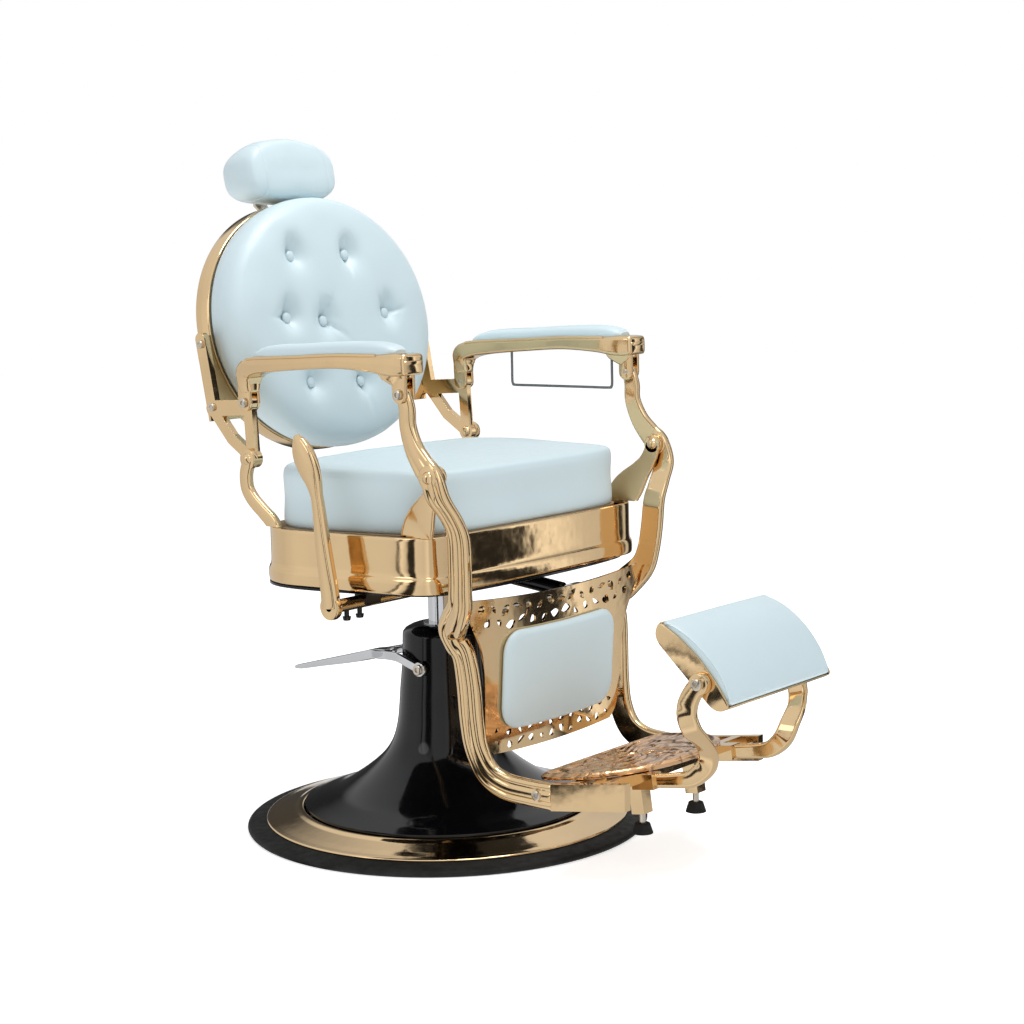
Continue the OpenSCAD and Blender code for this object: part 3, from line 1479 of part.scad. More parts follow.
headrest_y = -12;
headrest_z = 276;
headrest_bar_low = 20;
bar_bend_z = 186;
hinge_y = 47;
hinge_z = 258;
hinge_r = 9;
hinge_pin_r = 4;
hinge_lug_t = 6;
hinge_plate_w = 60;
hinge_plate_h = 46;
hinge_plate_t = 3;

module headrest_bar() {
  rise = (hinge_z - bar_bend_z) * 0.6;
  color(steel) on_back()
    difference() {
      union() {
        yz_plate(0, headrest_bar_w)
          polygon([
            [bar_gap, headrest_bar_low], [bar_gap + bar_t, headrest_bar_low],
              [bar_gap + bar_t, bar_bend_z],
            [hinge_y + bar_t / 2, bar_bend_z + rise], [hinge_y + bar_t / 2, hinge_z],
            [hinge_y - bar_t / 2, hinge_z], [hinge_y - bar_t / 2, bar_bend_z + rise],
              [bar_gap, bar_bend_z]]);
        x_rod(-headrest_bar_w / 2, headrest_bar_w / 2, hinge_y, hinge_z, hinge_r);
      }
      x_rod(-headrest_bar_w, headrest_bar_w, hinge_y, hinge_z, hinge_pin_r + slide_fit);
    }
}

module headrest_hinge() {
  plate_y = headrest_y + headrest_d / 2 + seat_gap;
  lug_x = headrest_bar_w / 2 + side_gap;
  color(steel) on_back() {
    translate([-hinge_plate_w / 2, plate_y, headrest_z - hinge_plate_h / 2])
      cube([hinge_plate_w, hinge_plate_t, hinge_plate_h]);
    for (side = [-1, 1])
      yz_plate(side * (lug_x + hinge_lug_t / 2), hinge_lug_t) {
        translate([hinge_y, hinge_z]) circle(r = hinge_r);
        translate([plate_y + hinge_plate_t / 2, hinge_z - hinge_r])
          square([hinge_y - plate_y - hinge_plate_t / 2, 2 * hinge_r]);
      }
    x_rod(-lug_x - hinge_lug_t - cut, lug_x + hinge_lug_t + cut, hinge_y, hinge_z, hinge_pin_r);
  }
}

headrest_ring_shares = [[0.72, 0], [0.86, 0.08], [0.95, 0.25], [1, 0.5], [0.985, 0.72], [0.93, 0.88],
  [0.8, 0.98], [0.45, 1.03]];
headrest_corner = 38;

module headrest_pad() {
  ring = rounded_box(headrest_half_w, headrest_h / 2, headrest_corner, 5);
  color(blue) on_back()
    translate([0, headrest_y + headrest_d / 2, headrest_z])
      rotate([90, 0, 0])
        skin([for (s = headrest_ring_shares) [for (q = ring)
          [q[0] - (1 - s[0]) * sign(q[0]) * headrest_h / 2, q[1] * s[0], headrest_d * s[1]]]]);
}

// Arms: castings with forked ends, pads and towel bar
// Distance from the middle plane to the arm's centre line, by share of the arm's span forward of the
// rear pin
arm_set_in = 2;
function arm_centre(share) = part_way(back_frame_x, casting_top_w - arm_set_in,
  lookup(share, [[0.03, 0], [0.12, 0.28], [0.25, 0.6], [0.45, 0.88], [0.65, 1]]));
// Shares of the arm's span forward of the rear pin, of the span above it, and of the thickness
arm_shares = [
  [0.006, 0.05, 0.85], [0.006, 0.11, 0.9], [0.022, 0.152, 1.05], [0.09, 0.171, 1], [0.223, 0.182, 0.88],
  [0.419, 0.193, 0.8], [0.642, 0.204, 0.8], [0.838, 0.2, 1], [0.94, 0.194, 1.3], [1, 0.194, 1.35],
    [1.045, 0.196, 1.05]];
arm_thick = 27;
cheek_w = 26;
fork_lean = 4;
front_fork_h = 28;
rear_fork_h = 30;
arm_play = 1.7;

module cheeks(w, gap, y, z, top_y, top_z) {
  for (side = [-1, 1])
    yz_plate(w + side * (gap + arm_cheek_t / 2), arm_cheek_t) link([y, z], [top_y, top_z], cheek_w);
}

module arm_bar() {
  bar([for (s = arm_shares)
    [arm_centre(s[0]), arm_rear_y - arm_span * s[0], arm_rear_z + arm_span * s[1],
      arm_thick * s[2], arm_w * min(1, 0.85 + s[0])]], 2, 0.5);
}

module arm_casting() {
  color(gold) difference() {
    union() {
      arm_bar();
      cheeks(casting_top_w, arm_cheek_gap, arm_front_y, arm_front_z, arm_front_y - fork_lean,
        arm_front_z + front_fork_h);
      cheeks(back_frame_x, back_cheek_gap, arm_rear_y, arm_rear_z, arm_rear_y + fork_lean,
        arm_rear_z + rear_fork_h);
    }
    x_through(casting_top_w, arm_w, arm_front_y, arm_front_z, arm_pin_r + arm_play);
    x_through(back_frame_x, arm_w, arm_rear_y, arm_rear_z, arm_pin_r + turn_fit);
  }
}

module arm_casting_left() { arm_casting(); }
module arm_casting_right() { right_side() arm_casting(); }

// Shares of the arm's span forward of the rear pin, of the span above it, of the pad's width and of
// its height
arm_pad_shares = [
  [0.08, 0.204, 0.5, 0.3], [0.11, 0.208, 0.8, 0.6], [0.16, 0.212, 0.94, 0.85], [0.25, 0.217, 1, 1],
  [0.42, 0.224, 1, 1], [0.642, 0.235, 1, 1], [0.83, 0.2385, 1, 1], [0.91, 0.2405, 0.94, 0.85],
    [0.96, 0.242, 0.8, 0.6],
  [0.985, 0.243, 0.5, 0.3]];
// Shares of the half width and height across the pad
arm_dome_shares = [[1, 0], [1, 0.3], [0.88, 0.68], [0.6, 0.93], [0, 1], [-0.6, 0.93], [-0.88, 0.68],
  [-1, 0.3], [-1, 0]];
arm_pad_margin = 4;
arm_pad_w = arm_w - arm_pad_margin;

module arm_pad() {
  s = smooth_path(arm_pad_shares, 2);
  skin([for (i = [0 : len(s) - 1]) [for (q = arm_dome_shares)
    [arm_centre(s[i][0]) + arm_pad_w / 2 * s[i][2] * q[0], arm_rear_y - arm_span * s[i][0],
      arm_rear_z + arm_span * s[i][1] + arm_pad_h * s[i][3] * q[1]]]]);
}

module cut_arm_pad() {
  color(blue) difference() {
    arm_pad();
    arm_bar();
  }
}

module arm_pad_left() { cut_arm_pad(); }
module arm_pad_right() { right_side() cut_arm_pad(); }

towel_front_share = 0.905;
towel_back_share = 0.28;
towel_set_in = 4;
towel_w = casting_top_w - towel_set_in;
towel_drop = 73;

module wire(a, b) {
  d = b - a;
  translate(a)
    rotate([0, acos(d[2] / norm(d)), atan2(d[1], d[0])])
      cylinder(h = norm(d), r = towel_wire_r);
}

module towel_bar() {
  rear_y = arm_rear_y - arm_span * towel_back_share;
  fore_y = arm_rear_y - arm_span * towel_front_share;
  top_z = arm_rear_z + arm_span * 0.19;
  low_z = top_z - towel_drop;
  color(steel) difference() {
    union() {
      wire([towel_w, rear_y, low_z], [towel_w, rear_y, top_z]);
      wire([towel_w, fore_y, low_z], [towel_w, fore_y, top_z]);
      wire([towel_w, fore_y, low_z], [towel_w, rear_y, low_z]);
      for (y = [rear_y, fore_y])
        translate([towel_w, y, low_z]) sphere(r = towel_wire_r);
    }
    arm_bar();
  }
}

base_rubber_ring();
base_plate();
base_trim_ring();
base_spindle();
base_bolts();
column_bell();
pump_cylinder();
swivel_bearing();
piston_guide();
pump_lever_pins();
pump_lever();
piston_rod();
seat_frame();
seat_rim();
seat_board();
seat_cushion();
front_bracket_right();
front_bracket_left();
rear_post_right();
rear_post_left();
pivot_bolts();
lever_tube();
lever_tube_bolts();
recline_lever();
recline_shaft();
strut_cylinder();
strut_rod();
side_casting_right();
side_casting_left();
leg_cross_rods();
calf_panel();
calf_pad();
foot_rail_right();
foot_rail_left();
foot_plate_frame();
foot_plate();
bumper_feet();
foot_rest_pins();
s_arm_right();
s_arm_left();
arm_front_pins();
flip_pad_shell();
flip_pad_cushion();
back_frame_right();
back_frame_left();
back_hoop();
back_board();
back_pad();
back_buttons();
back_screws();
headrest_socket();
arm_rear_pins();
headrest_bar();
headrest_hinge();
headrest_pad();
arm_casting_right();
arm_casting_left();
arm_pad_right();
arm_pad_left();
towel_bar();
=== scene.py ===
import json
import math

import bmesh
import bpy
import numpy as np
from mathutils import Matrix, Vector
from mathutils.geometry import delaunay_2d_cdt


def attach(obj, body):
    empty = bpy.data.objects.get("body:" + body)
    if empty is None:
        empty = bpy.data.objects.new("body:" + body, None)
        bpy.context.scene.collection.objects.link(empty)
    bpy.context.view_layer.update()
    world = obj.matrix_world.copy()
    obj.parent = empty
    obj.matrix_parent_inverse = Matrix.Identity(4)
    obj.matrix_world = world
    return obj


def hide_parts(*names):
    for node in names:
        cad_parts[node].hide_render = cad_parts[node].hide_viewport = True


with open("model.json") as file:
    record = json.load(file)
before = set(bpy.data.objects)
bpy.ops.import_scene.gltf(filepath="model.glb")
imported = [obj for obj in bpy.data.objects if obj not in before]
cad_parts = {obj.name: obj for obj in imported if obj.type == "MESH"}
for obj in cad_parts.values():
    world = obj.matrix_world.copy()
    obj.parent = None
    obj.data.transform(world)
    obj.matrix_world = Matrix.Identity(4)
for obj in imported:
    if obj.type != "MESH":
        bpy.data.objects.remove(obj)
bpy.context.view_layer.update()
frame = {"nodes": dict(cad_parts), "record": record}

bl_info = {
    "name": "Barber Chair",
    "version": (1, 0, 0),
    "blender": (4, 5, 0),
    "location": "View3D > Sidebar > Barber Chair",
    "description": "Dresses the packed barber chair in its cushions, castings and finishes",
    "category": "Object",
}

MM = 0.001
SLOTS = {s["node"]: s["material_slot"] for s in frame["record"]["subparts"]}
BODIES = {n: body for body, nodes in frame["record"]["behaviour"]["bodies"].items() for n in nodes}
FINISHES = {}


# Curves

def cubic(a, b, c, d, t):
    return (2 * b + (c - a) * t + (2 * a - 5 * b + 4 * c - d) * t**2 + (3 * b - a - 3 * c + d) * t**3) / 2


def curve_through(points, steps):
    """Smooth curve through the rows of points. Between neighbours b and c it is the cubic
    (2b + (c-a)t + (2a-5b+4c-d)t^2 + (3b-a-3c+d)t^3) / 2, with the end points doubled."""
    p = np.asarray(points, float)
    q = np.vstack([p[:1], p, p[-1:]])
    i, k = np.divmod(np.arange((len(p) - 1) * steps), steps)
    return np.vstack([cubic(q[i], q[i + 1], q[i + 2], q[i + 3], (k / steps)[:, None]), p[-1:]])


def loop_through(points, steps):
    """The same cubic round a closed row of points."""
    p = np.asarray(points, float)
    n = len(p)
    i, k = np.divmod(np.arange(n * steps), steps)
    return cubic(p[i - 1], p[i], p[(i + 1) % n], p[(i + 2) % n], (k / steps)[:, None])


def eased(points, r, steps=4):
    """A closed polygon with each corner p swapped for the curve (1-t)^2 a + 2t(1-t) p + t^2 b,
    where a and b lie r away along its two sides, or half a side where that is shorter."""
    p = np.asarray(points, float)
    back, fore = np.roll(p, 1, 0) - p, np.roll(p, -1, 0) - p
    back_l, fore_l = np.linalg.norm(back, axis=1)[:, None], np.linalg.norm(fore, axis=1)[:, None]
    a = p + back / back_l * np.minimum(r, back_l * 0.49)
    b = p + fore / fore_l * np.minimum(r, fore_l * 0.49)
    t = np.linspace(0, 1, steps + 1)[None, :, None]
    return ((1 - t) ** 2 * a[:, None] + 2 * t * (1 - t) * p[:, None] + t**2 * b[:, None]).reshape(-1, 2)


def grown(outline, d):
    """Each point pushed d further from the middle along its own direction."""
    return outline * (1 + d / np.linalg.norm(outline, axis=1))[:, None]


def rounded_box(half_w, half_h, r, steps=8):
    """A rectangle whose corners are quarter circles of radius r, walked round once."""
    a = np.radians(np.linspace(0, 90, steps + 1))
    turns = [(1, 1, 0), (-1, 1, 90), (-1, -1, 180), (1, -1, 270)]
    return np.vstack([np.column_stack([
        sx * (half_w - r) + r * np.cos(a + math.radians(t)),
        sy * (half_h - r) + r * np.sin(a + math.radians(t))]) for sx, sy, t in turns])


def evened(outline, gap):
    """A closed outline with points added so that no two neighbours lie further apart than the gap."""
    p = np.vstack([outline, outline[:1]])
    s = np.concatenate([[0], np.cumsum(np.linalg.norm(np.diff(p, axis=0), axis=1))])
    at = np.concatenate([np.linspace(a, b, max(1, math.ceil((b - a) / gap)), endpoint=False)
                         for a, b in zip(s[:-1], s[1:])])
    return np.column_stack([np.interp(at, s, p[:, i]) for i in range(p.shape[1])])


def inside(points, outline):
    """Which points lie in a closed outline: a ray along the first axis crosses it an odd number of times."""
    a, b = outline[None], np.roll(outline, -1, 0)[None]
    p = points[:, None]
    span = (a[..., 1] > p[..., 1]) != (b[..., 1] > p[..., 1])
    rise = np.where(a[..., 1] == b[..., 1], 1, b[..., 1] - a[..., 1])
    cross = a[..., 0] + (b[..., 0] - a[..., 0]) * (p[..., 1] - a[..., 1]) / rise
    return (span & (p[..., 0] < cross)).sum(1) % 2 == 1


def part_way(a, b, share):
    return a + (b - a) * share


def turn_of(degrees):
    """The cosine and the sine of an angle."""
    return math.cos(math.radians(degrees)), math.sin(math.radians(degrees))


def angles(count):
    """Equal steps once round, in radians."""
    return np.linspace(0, 2 * np.pi, count, endpoint=False)


# Shapes: each is a pair of its points and a list of face arrays

def outward(shape):
    """Turns the faces round where the signed volume, the sum of a.(b x c) over fans, is negative."""
    v, groups = shape
    total = 0.0
    for g in groups:
        for k in range(1, g.shape[1] - 1):
            total += np.einsum("ij,ij->", v[g[:, 0]], np.cross(v[g[:, k]], v[g[:, k + 1]]))
    return (v, groups) if total > 0 else (v, [g[:, ::-1] for g in groups])


def grid_faces(rows, cols, wrap):
    i = np.arange(rows if wrap else rows - 1)[:, None]
    j = np.arange(cols)[None, :]
    k, n = (j + 1) % cols, (i + 1) % rows
    return np.stack([i * cols + j, i * cols + k, n * cols + k, n * cols + j], -1).reshape(-1, 4)


def skin(rings):
    """A closed skin over rings: quads between neighbours, and one flat face over each end ring."""
    rings = np.asarray(rings, float)
    rows, cols, _ = rings.shape
    ends = np.array([np.arange(cols)[::-1], (rows - 1) * cols + np.arange(cols)])
    return outward((rings.reshape(-1, 3), [grid_faces(rows, cols, False), ends]))


def torus(rings):
    """A skin that closes both ways, as on a ring or a hoop."""
    rings = np.asarray(rings, float)
    return outward((rings.reshape(-1, 3), [grid_faces(rings.shape[0], rings.shape[1], True)]))


def turned(profile, sides=160):
    """A closed profile of (radius, height) carried round the Z axis."""
    p = np.asarray(profile, float)
    a = angles(sides)[:, None]
    return torus(np.stack([p[:, 0] * np.cos(a), p[:, 0] * np.sin(a), p[:, 1] + 0 * a], -1))


def spindle_x(profile, y, z, sides=40):
    """A profile of (x, radius) carried round the line through [y, z] along X."""
    p = np.asarray(profile, float)[:, None]
    a = angles(sides)[None]
    return skin(np.stack([p[..., 0] + 0 * a, y + p[..., 1] * np.cos(a), z + p[..., 1] * np.sin(a)], -1))


def rim_rows(x0, x1, edge):
    """Places along X, each with how far its ring draws in, that ease the rims of a boss or a plate."""
    rows = [(0, 1), (0.1, 0.55), (0.45, 0.12), (1, 0)]
    return [(x0 + edge * a, edge * b) for a, b in rows] + [(x1 - edge * a, edge * b) for a, b in rows[::-1]]


def boss(x0, x1, y, z, r, edge=1.6):
    """A round boss along X with eased rims."""
    return spindle_x([(x, r - drawn) for x, drawn in rim_rows(x0, x1, edge)], y, z)


def prism_x(outline, x0, x1, edge=1.2):
    """An outline of [y, z] carried along X. Near both faces each of its points moves inwards, square
    to the line between its neighbours, which eases the rims."""
    p = np.asarray(outline, float)
    d = np.roll(p, -1, 0) - np.roll(p, 1, 0)
    n = np.stack([-d[:, 1], d[:, 0]], 1) / np.maximum(np.linalg.norm(d, axis=1), 1e-9)[:, None]
    n *= np.sign(np.sum(p[:, 0] * np.roll(p[:, 1], -1) - np.roll(p[:, 0], -1) * p[:, 1]))
    return skin([np.column_stack([np.full(len(p), x), p + n * drawn]) for x, drawn in rim_rows(x0, x1, edge)])


def link(a, b, width, steps=14):
    """The outline of a flat link between two points, with round ends."""
    a, b = np.asarray(a, float), np.asarray(b, float)
    lean = math.atan2(b[1] - a[1], b[0] - a[0])
    t = np.linspace(-np.pi / 2, np.pi / 2, steps)
    arc = lambda c, turn: c + width / 2 * np.column_stack([np.cos(t + turn), np.sin(t + turn)])
    return np.vstack([arc(b, lean), arc(a, lean + np.pi)])


def bar_section():
    """A rounded rectangle as rows of four multipliers: of the half width less the corner, of the
    corner across, of the half thickness less the corner, and of the corner through."""
    q, side, a = np.linspace(1, -1, 17), np.array([1, 0, -1]), np.radians([22.5, 45, 67.5])
    blocks = [(q, 0, 1, 1), (-1, -np.sin(a), 1, np.cos(a)), (-1, -1, side, 0),
              (-1, -np.cos(a), -1, -np.sin(a)), (-q, 0, -1, -1), (1, np.sin(a), -1, -np.cos(a)),
              (1, 1, -side, 0), (1, np.cos(a), 1, np.sin(a))]
    return np.vstack([np.column_stack(np.broadcast_arrays(*b)) for b in blocks])


def swept(stations, steps, r=3.0, flute=0.0, groove=0.42, crown=0.0, end=3.0):
    """A bar along a path in the YZ plane. Stations are [x, y, z, width, thickness], and a sixth number
    is the flutes' share. Its section is a rectangle with corners of radius r, and its outer face moves by
    crown (1 - q^2) - flute exp(-((|q| - groove) / 0.11)^2), where q runs from -1 to 1 across the width.
    Each end closes in a quarter round."""
    s = curve_through(stations, steps)
    flute = flute * s[:, 5:] if s.shape[1] > 5 else flute
    d = np.gradient(s[:, 1:3], axis=0)
    d /= np.linalg.norm(d, axis=1)[:, None]
    n = np.stack([-d[:, 1], d[:, 0]], 1)
    m = bar_section()
    w, t = s[:, 3:4] / 2, s[:, 4:5] / 2
    c = np.minimum(np.minimum(w, t) * 0.95, r)
    across = m[:, 0] * (w - c) + m[:, 1] * c
    through = m[:, 2] * (t - c) + m[:, 3] * c
    q = across / w
    through = through + (m[:, 3] == 1) * (m[:, 1] == 0) * (
        crown * (1 - q**2) - flute * np.exp(-((np.abs(q) - groove) / 0.11) ** 2))
    rows = np.stack([s[:, :1] + through, s[:, 1:2] + n[:, :1] * across, s[:, 2:3] + n[:, 1:] * across], -1)

    def cap(i, bend):
        middle = s[i, :3]
        shrink = 1 - end * (1 - math.cos(bend)) / min(w[i, 0], t[i, 0])
        step = end * math.sin(bend) * (1 if i else -1)
        return middle + (rows[i] - middle) * shrink + np.array([0, *d[i]]) * step

    bends = np.radians([30, 60, 80])
    return skin([*[cap(0, b) for b in bends[::-1]], *rows, *[cap(-1, b) for b in bends]])


def tube(points, r, steps=6, sides=14):
    """A round wire of radius r along a smooth path in the YZ plane."""
    s = curve_through(points, steps)
    d = np.gradient(s, axis=0)
    u = np.cross(d, [1.0, 0, 0])
    u /= np.linalg.norm(u, axis=1)[:, None]
    a = angles(sides)[None, :, None]
    return skin(s[:, None] + r * (u[:, None] * np.cos(a) + np.array([1.0, 0, 0]) * np.sin(a)))


def mirrored(shape):
    """The same shape on the other side of the chair."""
    return outward((shape[0] * [-1, 1, 1], shape[1]))


def stood(shape, floor):
    """A shape whose points under the floor height are lifted to it, so that it stands flat."""
    v = shape[0].copy()
    v[:, 2] = np.maximum(v[:, 2], floor)
    return v, shape[1]


def laid(shape, degrees, origin):
    """A shape turned about X by the angle and moved to the origin given."""
    c, s = turn_of(degrees)
    turn = np.array([[1, 0, 0], [0, c, -s], [0, s, c]])
    return (shape[0] @ turn.T + np.asarray(origin, float), shape[1])


def on_back(shape):
    """From the back's own frame, x across, y to the rear and z up the hoop, into place."""
    return laid(shape, -BACK_TILT, HOOP_CENTRE)


def on_foot_rest(shape):
    """From the foot plate's own frame, x across, y to the rear and z off its face, into place."""
    return laid(shape, -FOOT_TILT, FOOT_REAR)


def on_panel(shape):
    """Leans a shape drawn upright on the calf panel about the line that the panel turns on."""
    return laid((shape[0] - PANEL_TURN, shape[1]), PANEL_LEAN, PANEL_TURN)


def panel_bend(x):
    """Where a point across the calf panel lies in depth, y = PANEL_Y - bulge + R - sqrt(R^2 - x^2), and
    how far it hangs down, droop (1 - (x / half)^2)."""
    r = (PANEL_HALF**2 + PANEL_BULGE**2) / (2 * PANEL_BULGE)
    return PANEL_Y - PANEL_BULGE + r - np.sqrt(r**2 - x * x), PANEL_DROOP * (1 - (x / PANEL_HALF) ** 2)


def on_flip_pad(shape):
    """From the flip pad's own frame, y across its width and z off its tray's rim, onto its pins."""
    return laid((shape[0] + [0, FLIP_DEEP * 0.67, 9], shape[1]), FLIP_ANGLE, [0, *FLIP_PIN])


# Pieces

def piece(name, shapes, finish, body, replaces=(), crisp=38):
    """Puts shapes into one mesh in metres, smooth but for edges sharper than the crisp angle, and
    links it into the scene on its body."""
    points = np.concatenate([s[0] for s in shapes]) * MM
    at = np.cumsum([0] + [len(s[0]) for s in shapes])
    groups = [g + at[i] for i, s in enumerate(shapes) for g in s[1]]
    sizes = np.concatenate([np.full(len(g), g.shape[1]) for g in groups])
    loops = np.concatenate([g.ravel() for g in groups]).astype(np.int32)
    mesh = bpy.data.meshes.new(name)
    mesh.vertices.add(len(points))
    mesh.vertices.foreach_set("co", points.astype(np.float32).ravel())
    mesh.loops.add(len(loops))
    mesh.loops.foreach_set("vertex_index", loops)
    mesh.polygons.add(len(sizes))
    mesh.polygons.foreach_set("loop_start", np.concatenate([[0], np.cumsum(sizes)[:-1]]).astype(np.int32))
    mesh.update(calc_edges=True)
    if mesh.validate():
        raise RuntimeError(name + " has faces that are not valid")
    return settle(bpy.data.objects.new(name, mesh), finish, body, replaces, crisp)


def settle(obj, finish, body, replaces, crisp):
    """Links a piece, smooths it, gives it a finish, puts it on its body and hides the CAD nodes it replaces.
    """
    bpy.context.scene.collection.objects.link(obj)
    obj.data.materials.clear()
    obj.data.materials.append(FINISHES[finish])
    obj.data.shade_smooth()
    obj.data.set_sharp_from_angle(angle=math.radians(crisp))
    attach(obj, body)
    if replaces:
        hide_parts(*replaces)
    return obj


def dressed(name, node, shapes):
    """A new piece that stands for one CAD node, on its body and with its slot and finish."""
    return piece(name, shapes, SLOTS[node], BODIES[node], (node,))


def pair(name, node, shapes):
    """A piece on each side that stands for that side's node, from shapes on the chair's left."""
    dressed(name + "_left", node + "_left", shapes)
    dressed(name + "_right", node + "_right", [mirrored(s) for s in shapes])


def bevelled(obj, width, segments, degrees):
    """Leaves a bevel of the given width in millimetres on the edges sharper than the angle."""
    bevel = obj.modifiers.new("edge", "BEVEL")
    bevel.width = width * MM
    bevel.segments = segments
    bevel.limit_method = "ANGLE"
    bevel.angle_limit = math.radians(degrees)
    bevel.harden_normals = True


def softened(node, width, socket=False):
    """A copy of a CAD node's mesh, its loose triangles merged and flat faces rejoined, with a two-step
    bevel of the given width in millimetres along its edges. A screw's round ends rise to a domed ring
    with a socket in its middle, by insets of shares of their own radius."""
    mesh = frame["nodes"][node].data.copy()
    bm = bmesh.new()
    bm.from_mesh(mesh)
    bmesh.ops.remove_doubles(bm, verts=bm.verts, dist=2e-6)
    bmesh.ops.dissolve_limit(bm, angle_limit=math.radians(0.6), verts=bm.verts, edges=bm.edges)
    for face in [f for f in bm.faces if socket and abs(f.normal.x) > 0.99 and len(f.verts) > 11]:
        r = math.sqrt(face.calc_area() / math.pi)
        for share, lift in ((0.14, 0.08), (0.2, 0.05), (0.2, 0), (0.05, -0.25)):
            bmesh.ops.inset_individual(bm, faces=[face], thickness=share * r, depth=lift * r)
    bm.to_mesh(mesh)
    bm.free()
    obj = bpy.data.objects.new(node + "_eased", mesh)
    bevelled(settle(obj, SLOTS[node], BODIES[node], (node,), 30), width, 2, 30)


# Finishes

def add_node(tree, kind, inputs=None, **settings):
    """A shader node with its settings made, and each input linked to a socket or set to a value."""
    node = tree.nodes.new("ShaderNode" + kind)
    for key, value in settings.items():
        setattr(node, key, value)
    for key, value in (inputs or {}).items():
        if isinstance(value, bpy.types.NodeSocket):
            tree.links.new(value, node.inputs[key])
        else:
            node.inputs[key].default_value = value
    return node


class Finish:
    """One node material: a Principled shader, and nodes added in front of it."""

    def __init__(self, name, colour, **sockets):
        self.material = bpy.data.materials.new(name)
        self.material.use_nodes = True
        self.tree = self.material.node_tree
        self.shader = self.tree.nodes["Principled BSDF"]
        self.shader.inputs["Base Color"].default_value = (*colour, 1)
        for key, value in sockets.items():
            self.shader.inputs[key.replace("_", " ")].default_value = value
        self.place = self.tree.nodes.new("ShaderNodeTexCoord").outputs["Object"]
        self.normal = None

    def node(self, kind, inputs=None, **settings):
        return add_node(self.tree, kind, inputs, **settings)

    def noise(self, scale, detail=2.0, rough=0.5, distortion=0.0):
        return self.node("TexNoise", {"Vector": self.place, "Scale": scale, "Detail": detail,
                                      "Roughness": rough, "Distortion": distortion}).outputs["Fac"]

    def spread(self, value, low, high, a=0.0, b=1.0):
        return self.node("MapRange", {"Value": value, "From Min": low, "From Max": high,
                                      "To Min": a, "To Max": b}).outputs["Result"]

    def tint(self, share, other):
        """Base colour mixed towards another by a share that varies over the surface."""
        base = self.shader.inputs["Base Color"]
        before = base.links[0].from_socket if base.links else base.default_value
        mix = self.node("Mix", {0: share, 6: before, 7: (*other, 1)}, data_type="RGBA")
        self.tree.links.new(mix.outputs[2], base)

    def roughen(self, value, low, high):
        self.tree.links.new(self.spread(value, 0.3, 0.7, low, high), self.shader.inputs["Roughness"])

    def bump(self, value, height):
        """Adds a relief of the given height in metres to what the surface already has."""
        inputs = {"Height": value, "Distance": height}
        if self.normal:
            inputs["Normal"] = self.normal
        self.normal = self.node("Bump", inputs).outputs["Normal"]
        self.tree.links.new(self.normal, self.shader.inputs["Normal"])


def metal(name, colour, rough, wave, scratch=0.00002):
    """Polished metal: slow waves bend its reflections, and a fine grain and stains vary its gloss."""
    f = Finish(name, colour, Metallic=1.0, Roughness=rough)
    f.tint(f.spread(f.noise(11, 3), 0.45, 0.75, 0, 0.5), [c * 0.9 for c in colour])
    f.roughen(f.noise(70, 4), rough * 0.7, rough * 1.5)
    f.bump(f.noise(24, 2), wave)
    f.bump(f.noise(450, 3), scratch)
    return f.material


def leaf_relief(colour):
    """Stamped leaves: rings of wave noise raise the leaves and darken the ground between them."""
    f = Finish("rose gold leaf relief", colour, Metallic=1.0, Roughness=0.24)
    curl = f.node("TexWave", {"Vector": f.place, "Scale": 15.0, "Distortion": 9.0, "Detail": 1.0,
                              "Detail Scale": 1.6}, wave_type="RINGS").outputs["Fac"]
    f.tint(f.spread(curl, 0.02, 0.22, 0.7, 0), [c * 0.35 for c in colour])
    f.roughen(curl, 0.26, 0.12)
    f.bump(curl, 0.0005)
    return f.material


def vinyl(colour):
    """Soft coated cloth: broad slack waves, a fine leather grain and faint changes of tone."""
    f = Finish("pale blue vinyl", colour, Roughness=0.42, Coat_Weight=0.1, Coat_Roughness=0.32)
    f.tint(f.spread(f.noise(7, 2), 0.4, 0.75, 0, 0.4), [c * 0.95 for c in colour])
    f.roughen(f.noise(90, 3), 0.36, 0.5)
    f.bump(f.noise(20, 3, 0.5, 0.3), 0.0007)
    cells = f.node("TexVoronoi", {"Vector": f.place, "Scale": 620.0}, feature="DISTANCE_TO_EDGE")
    f.bump(f.spread(cells.outputs["Distance"], 0.0, 0.35), 0.00006)
    return f.material


def enamel():
    """Deep black gloss paint with a slight run in it."""
    f = Finish("gloss black enamel", (0.004, 0.004, 0.005), Roughness=0.06, Specular_IOR_Level=0.36)
    f.roughen(f.noise(50, 4), 0.05, 0.13)
    f.bump(f.noise(15, 2), 0.0004)
    return f.material


def rubber():
    """Dark grey rubber, dusty in places, with a pebbled skin."""
    f = Finish("dark grey rubber", (0.016, 0.016, 0.015), Roughness=0.6, Specular_IOR_Level=0.12)
    f.tint(f.spread(f.noise(34, 5), 0.45, 0.8, 0, 0.6), (0.040, 0.040, 0.038))
    f.roughen(f.noise(70, 4), 0.5, 0.72)
    f.bump(f.noise(900, 2), 0.00008)
    return f.material


def plywood():
    """Varnished plywood: fine upright grain in slow stains of colour."""
    f = Finish("varnished plywood", (0.40, 0.26, 0.14), Roughness=0.5, Coat_Weight=0.2, Coat_Roughness=0.2)
    grain = f.node("TexWave", {"Vector": f.place, "Scale": 55.0, "Distortion": 9.0, "Detail": 4.0,
                               "Detail Scale": 0.5}).outputs["Fac"]
    f.tint(f.spread(grain, 0.1, 0.9, 0, 0.35), (0.50, 0.34, 0.19))
    f.tint(f.spread(f.noise(5, 2), 0.4, 0.7, 0, 0.5), (0.34, 0.21, 0.11))
    f.bump(grain, 0.00005)
    return f.material


# The chair's own measures, in millimetres and degrees. Pins are [y, z], and names in _W are places
# across the chair

